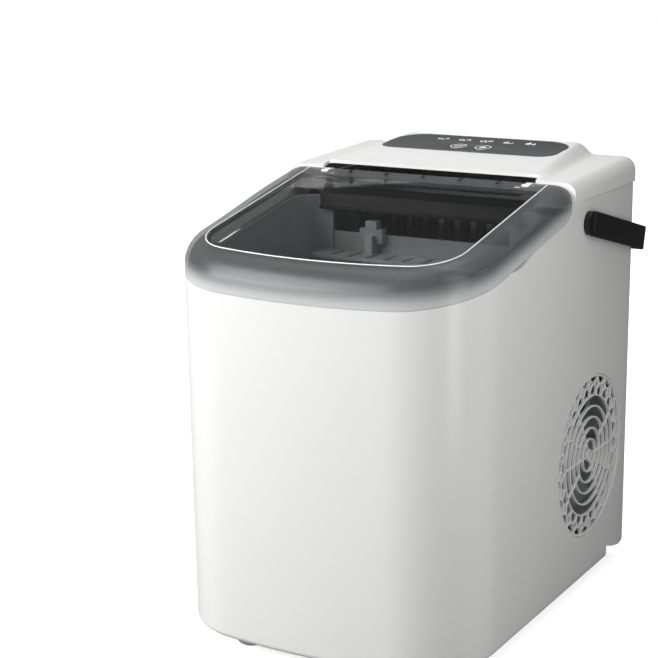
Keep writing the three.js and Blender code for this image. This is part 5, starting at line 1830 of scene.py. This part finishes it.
@dataclass
class CarryHandle:
    """The folding handle: a flat strap bent round the back, on two round hubs."""

    arm_inner: float = 114.4
    arm_outer: float = 118.0
    reach: float = 108.0
    grip: float = 4.5
    width: float = 17.5
    corner: float = 4.0
    droop: float = 14.7
    hub_radius: float = 8.4
    hub_inner: float = 112.8
    hub_recess: float = 0.9

    def build(self, bench: Bench) -> None:
        """Models the strap and hubs and settles them.

        Args:
            bench: where finished pieces are dressed and settled.
        """
        outer = self._outline(self.arm_outer, self.reach, self.corner)
        strap = raised(outer, (0, 0, self.width))
        inner = self._outline(self.arm_inner, self.reach - self.grip, self.corner / 2, 20)
        gap = raised(inner, (0, 0, self.width + 4))
        gap.data.transform(Matrix.Translation((0, 0, -2)))
        combine(strap, [gap])
        softened(strap, 0.8, segments=3, angle=50)
        strap.data.transform(Matrix.Translation((0, 0, -self.width / 2)))
        parts = [strap]
        for side in (-1, 1):
            ends = on_side(side, self.hub_inner, self.arm_outer - self.hub_recess)
            hub = bar("hub", "x", *ends, (0, 0), self.hub_radius, 64)
            parts.append(softened(hub, 0.5, angle=60))
        whole = joined("carry_strap", parts)
        turn = Matrix.Rotation(-math.radians(self.droop), 4, "X")
        whole.data.transform(Matrix.Translation((0, *HANDLE_PIVOT)) @ turn)
        bench.settle(
            whole, BLACK_NYLON, "black_plastic", "carry_handle", body=Body.HANDLE, smooth=35
        )

    def _outline(self, half: float, reach: float, corner: float, start: float = 0.0) -> Obj:
        """The strap's plan from ahead of the pivots back to its reach.

        Args:
            half: half its width.
            reach: how far it goes back.
            corner: the radius of its rear corners.
            start: how far ahead of the pivots it starts.

        Returns:
            The closed outline.
        """
        turn_x, turn_y = half - corner, reach - corner
        outline = Outline("strap", (-half, -start, 0)).line((half, -start, 0), (half, turn_y, 0))
        outline.arc((turn_x, turn_y, 0), QUARTER, 8).line((-turn_x, reach, 0))
        return outline.arc((-turn_x, turn_y, 0), QUARTER, 8).closed()


# ---------------------------------------------------------------- tub


@dataclass
class Tub:
    """The grey tub with its rim and ledge, and the works box behind it."""

    inset: float = 14.5
    floor: float = 62.0
    rear: float = 20.0
    low_rear: float = 2.0
    step: tuple[float, float] = (190.0, 222.0)
    top: float = 305.0
    corner: float = 14.0
    wall: float = 2.5
    rim: float = 5.0
    ledge_rear: float = 34.0
    ledge_low: float = -3.0
    ledge: float = 2.5
    box_half: float = 80.0
    box_floor: float = 178.0
    box_rear: float = 95.0
    box_top: float = 277.0
    mouth_half: float = 70.0
    mouth: tuple[float, float] = (228.0, 269.0)
    rail_x: tuple[float, float] = (64.0, 79.8)
    rail_y: tuple[float, float] = (22.6, 60.0)
    rail_z: tuple[float, float] = (233.7, 237.7)

    def build(self, bench: Bench) -> None:
        """Models the tub and settles it.

        Args:
            bench: where finished pieces are dressed and settled.
        """
        wall, rear, half = self.wall, self.rear, self.box_half
        walls = combine(self._form("ice_tub", wall), [self._above()])
        flange = HOUSING_PLAN.inset(wall + GAP, self.ledge_rear).drawn("ledge", self.ledge_low)
        rim = self._plan(wall, rear).drawn("rim", -wall)
        added = [raised(flange, (0, 0, self.ledge)), raised(rim, (0, 0, wall + self.rim))]
        for part in added:
            part.data.transform(SEAM.lean())
        low = (-half - wall, rear - 1, self.box_floor - wall)
        works = block("works_box", low, (half + wall, self.box_rear + wall, self.box_top))
        combine(walls, [*added, works], "UNION")
        low = (-half, rear + wall, self.box_floor)
        room = block("works_room", low, (half, self.box_rear, self.box_top + 2))
        low = (-self.mouth_half, rear - 3, self.mouth[0])
        mouth = block("mouth", low, (self.mouth_half, rear + wall + 1, self.mouth[1]))
        combine(walls, [self._form("tub_room", 0.0), room, mouth, *self._drillings()])
        softened(walls, 0.6, angle=50)
        bench.settle(walls, GREY_LINER, "tub_liner", "inner_tub", smooth=28)
        rails = joined("shovel_rails", [self._rail(side) for side in (-1, 1)])
        bench.settle(softened(rails, 0.5), GREY_LINER, "tub_liner")

    def _rail(self, side: int) -> Obj:
        """One of the two rails that the shovel slides on."""
        near, far = zip(on_side(side, *self.rail_x), self.rail_y, self.rail_z)
        return block("rail", near, far)

    def _plan(self, grow: float, rear: float) -> Plan:
        """The tub's plan, moved outwards."""
        plan = HOUSING_PLAN.inset(self.inset - grow, rear + grow)
        return replace(plan, rear_corner=self.corner + grow)

    def _form(self, name: str, grow: float) -> Obj:
        """The tub's inner or outer form, whose rear wall leans forward below the mouth.

        Args:
            name: the form's name.
            grow: how far it lies outside the inner surface.

        Returns:
            The closed form.
        """
        heights = (self.floor - grow, *self.step, self.top)
        rears = (self.low_rear, self.low_rear, self.rear, self.rear)
        rings = [self._plan(grow, back).drawn("ring", z) for z, back in zip(heights, rears)]
        return bridged(name, rings)

    def _above(self) -> Obj:
        """Everything above the seam plane, as a cutter."""
        low = [(y, SEAM.height(y)) for y in (-LONG, 60)]
        return prism("above", [*low, (60, TALL), (-LONG, TALL)])

    def _drillings(self) -> list[Obj]:
        """Holes for the tray's shaft, the tubes, the sump, the drain and the sensors.

        Returns:
            The tools.
        """
        holes = [bar("shaft_hole", "x", -86, 86, (68, 238), 2.8, 24)]
        holes += [bar("tube_hole", "y", 92, 100, (x, 264.3), 4, 24) for x in (-44, 44)]
        holes += [bar("sump", "z", 57, 64, place, 5, 32) for place in ((30, -20), (-60, -40))]
        for side in (-1, 1):
            holes.append(bar("sensor_hole", "x", side * 94, side * 103, (-12, 226), 3.3, 32))
        return holes


# ---------------------------------------------------------------- the rest of the works


@dataclass
class Works:
    """Pieces whose solids already have the right shape: they get round edges and their finishes.

    A row gives the names of like solids, their finish, their slot and the rounding of their edges.
    """

    pieces: tuple[tuple[str, Finish, str, float], ...] = (
        ("back_panel", WHITE_ABS, "white_housing", 0.5),
        ("base_tray", PALE_PP, "base_plastic", 0.4),
        ("ice_basket", BASKET_PS, "clear_basket", 0.5),
        ("basket_stand", GREY_LINER, "tub_liner", 0.6),
        ("evaporator", NICKEL, "evaporator_metal", 0.5),
        ("water_tray", PALE_PP, "pale_plastic", 0.3),
        ("tray_shaft", STEEL, "bright_steel", 0.3),
        ("tray_motor", BLACK_ABS_AND_PAINTED_SHADE, "black_plastic", 0.8),
        ("ice_shovel", GREY_ACETAL, "tub_liner", 0.5),
        # The hood's black is painted shade: it stands where the room under the cover's front lies
        # in shadow.
        ("chamber_hood", BLACK_ABS_AND_PAINTED_SHADE, "black_plastic", 0.5),
        ("ice_sensor_left ice_sensor_right", BLACK_ABS_AND_PAINTED_SHADE, "black_plastic", 0.4),
        ("water_pump", BLACK_ABS_AND_PAINTED_SHADE, "black_plastic", 0.6),
        ("pump_hose", RUBBER, "hose_rubber", 0.0),
        ("drain_fitting", PALE_PP, "pale_plastic", 0.3),
        ("drain_plug", PALE_PP, "pale_plastic", 0.6),
        ("drain_hose", RUBBER, "hose_rubber", 0.0),
        ("compressor", ENAMEL, "painted_steel", 0.8),
        ("condenser", FIN_ALUMINIUM, "fin_metal", 0.0),
        ("fan_shroud", FAN_ABS, "black_plastic", 0.5),
        ("fan_motor", BLACK_ABS_AND_PAINTED_SHADE, "black_plastic", 0.5),
        ("fan_rotor", FAN_ABS, "black_plastic", 0.3),
        ("discharge_line filter_drier suction_line capillary_line", COPPER, "copper_line", 0.0),
        ("cord_gland", BLACK_ABS_AND_PAINTED_SHADE, "black_plastic", 0.5),
        ("control_board", BOARD, "circuit_board", 0.2),
        ("power_board", BOARD, "circuit_board", 0.4),
        ("tub_foam", FOAM, "insulation", 1.2),
        ("lid_pin_left lid_pin_right", STEEL, "bright_steel", 0.4),
        ("handle_pivot_left handle_pivot_right", BLACK_NYLON, "black_plastic", 0.5),
        ("compressor_mount_1", RUBBER, "hose_rubber", 0.2),
        ("compressor_mount_2 compressor_mount_3", RUBBER, "hose_rubber", 0.6),
        ("foot_front_left foot_front_right", PALE_TPE, "base_plastic", 0.5),
        ("foot_rear_left foot_rear_right", PALE_TPE, "base_plastic", 0.5),
        ("back_screw_1 back_screw_2 back_screw_3 back_screw_4", STEEL, "bright_steel", 0.25),
    )

    def build(self, bench: Bench) -> None:
        """Refines and settles each piece. Those that don't move ride on the housing.

        Args:
            bench: where finished pieces are dressed and settled.
        """
        riders = {
            "ice_basket": Body.BASKET,
            "water_tray": Body.TRAY,
            "tray_shaft": Body.TRAY,
            "ice_shovel": Body.SHOVEL,
            "drain_plug": Body.PLUG,
            "fan_rotor": Body.FAN,
        }
        for nodes, finish, slot, edge in self.pieces:
            for node in nodes.split():
                bench.refined(node, finish, slot, edge, riders.get(node, Body.HOUSING))


# ---------------------------------------------------------------- studio


@dataclass(frozen=True)
class Lamp:
    """A soft rectangular lamp aimed at the machine."""

    name: str
    place: Point
    aim: Point
    size: tuple[float, float]
    power: float

    def build(self) -> None:
        """Hangs the lamp."""
        light = bpy.data.lights.new(self.name, "AREA")
        light.shape = "RECTANGLE"
        light.size, light.size_y = self.size
        light.energy = self.power
        obj = bpy.data.objects.new(self.name, light)
        bpy.context.scene.collection.objects.link(obj)
        obj.location = self.place
        direction = Vector(self.aim) - Vector(self.place)
        obj.rotation_euler = direction.to_track_quat("-Z", "Y").to_euler()
        obj.visible_camera = False


@dataclass
class Studio:
    """Camera, lamps, world and floor."""

    eye: Point = (545.8, -1030.3, 471.7)
    yaw: float = 27.177
    pitch: float = 15.554
    lens: float = 92.95
    shift: Point = (-0.1493, 0.0918)
    world: float = 0.16
    world_in_gloss: float = 0.12
    lamps: tuple[Lamp, ...] = (
        Lamp("key_left", (-0.85, -1.05, 0.95), (-0.02, -0.08, 0.14), (0.9, 0.9), 28.0),
        Lamp("top", (-0.2, 0.2, 2.0), (0, 0, 0.2), (1.5, 1.5), 12.5),
        Lamp("strip_right", (0.45, -0.2, 0.3), (0.1, -0.05, 0.16), (0.12, 0.8), 1.15),
    )

    def build(self, datum: Datum) -> None:
        """Sets up the scene round the machine.

        Args:
            datum: where the housing stands.
        """
        scene = bpy.context.scene
        scene.view_settings.view_transform = "Standard"
        self._camera(scene, datum)
        self._world(scene)
        for lamp in self.lamps:
            lamp.build()
        self._floor()

    def _camera(self, scene: bpy.types.Scene, datum: Datum) -> None:
        """The camera, a long lens from the front right and above.

        Args:
            scene: the scene.
            datum: where the housing stands.
        """
        data = bpy.data.cameras.new("camera")
        data.sensor_width = 36.0
        data.lens = self.lens
        data.shift_x, data.shift_y = self.shift
        data.clip_start, data.clip_end = 0.05, 50
        obj = bpy.data.objects.new("camera", data)
        scene.collection.objects.link(obj)
        obj.location = datum.matrix() @ Vector(self.eye)
        obj.rotation_euler = (math.radians(90 - self.pitch), 0, math.radians(self.yaw))
        scene.camera = obj

    def _world(self, scene: bpy.types.Scene) -> None:
        """An even grey that shows white to the camera and through clear parts.

        Args:
            scene: the scene.
        """
        world = bpy.data.worlds.new("studio")
        scene.world = world
        tree = empty_tree(world)
        ray = add_node(tree, "LightPath").outputs
        seen = {0: ray["Is Camera Ray"], 1: ray["Is Transmission Ray"]}
        direct = add_node(tree, "Math", seen, operation="MAXIMUM").outputs["Value"]
        indirect = spread(tree, ray["Is Glossy Ray"], (self.world, self.world_in_gloss))
        strength = spread(tree, direct, (indirect, 1.0))
        glow = add_node(tree, "Background", {"Color": (1, 1, 1, 1), "Strength": strength})
        add_node(tree, "OutputWorld", {"Surface": glow.outputs["Background"]})

    def _floor(self) -> None:
        """A pale floor that keeps the machine's soft shadow and fades to white round it."""
        clear_selection()
        bpy.ops.mesh.primitive_plane_add(size=14, location=(0, 0, -0.0005))
        floor = bpy.context.active_object
        floor.name = "floor"
        made = bpy.data.materials.new("floor_paper")
        tree = empty_tree(made)
        seen = add_node(tree, "LightPath").outputs["Is Camera Ray"]
        tone = blend(tree, seen, linear("#8c8c8c"), linear("#f4f4f4"))
        paper = add_node(tree, "BsdfDiffuse", {"Color": tone}).outputs["BSDF"]
        place = add_node(tree, "TexCoord").outputs["Object"]
        away = add_node(tree, "VectorMath", {0: place}, operation="LENGTH").outputs["Value"]
        fade = spread(tree, away, (0.74, 1.0), (0.3, 0.9), "SMOOTHSTEP")
        shown = add_node(tree, "Math", {0: seen, 1: fade}, operation="MULTIPLY").outputs["Value"]
        glow = add_node(tree, "Emission", {"Strength": shown}).outputs["Emission"]
        both = add_node(tree, "AddShader", {0: paper, 1: glow})
        add_node(tree, "OutputMaterial", {"Surface": both.outputs["Shader"]})
        floor.data.materials.append(made)


# ---------------------------------------------------------------- assembly


def main() -> None:
    """Builds the machine's looks round its frame, and the studio."""
    logging.basicConfig(level=logging.INFO, format="%(message)s")
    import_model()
    datum = Datum.of_frame()
    Studio().build(datum)
    bench = Bench(datum)
    panel = ControlPanel()
    parts = (Housing(), RearCover(panel), panel, Lid(), FanGuard(), CarryHandle(), Tub(), Works())
    for part in parts:
        part.build(bench)
    LOG.info("%d pieces settled", len(bench.made))


if __name__ == "__main__":
    main()
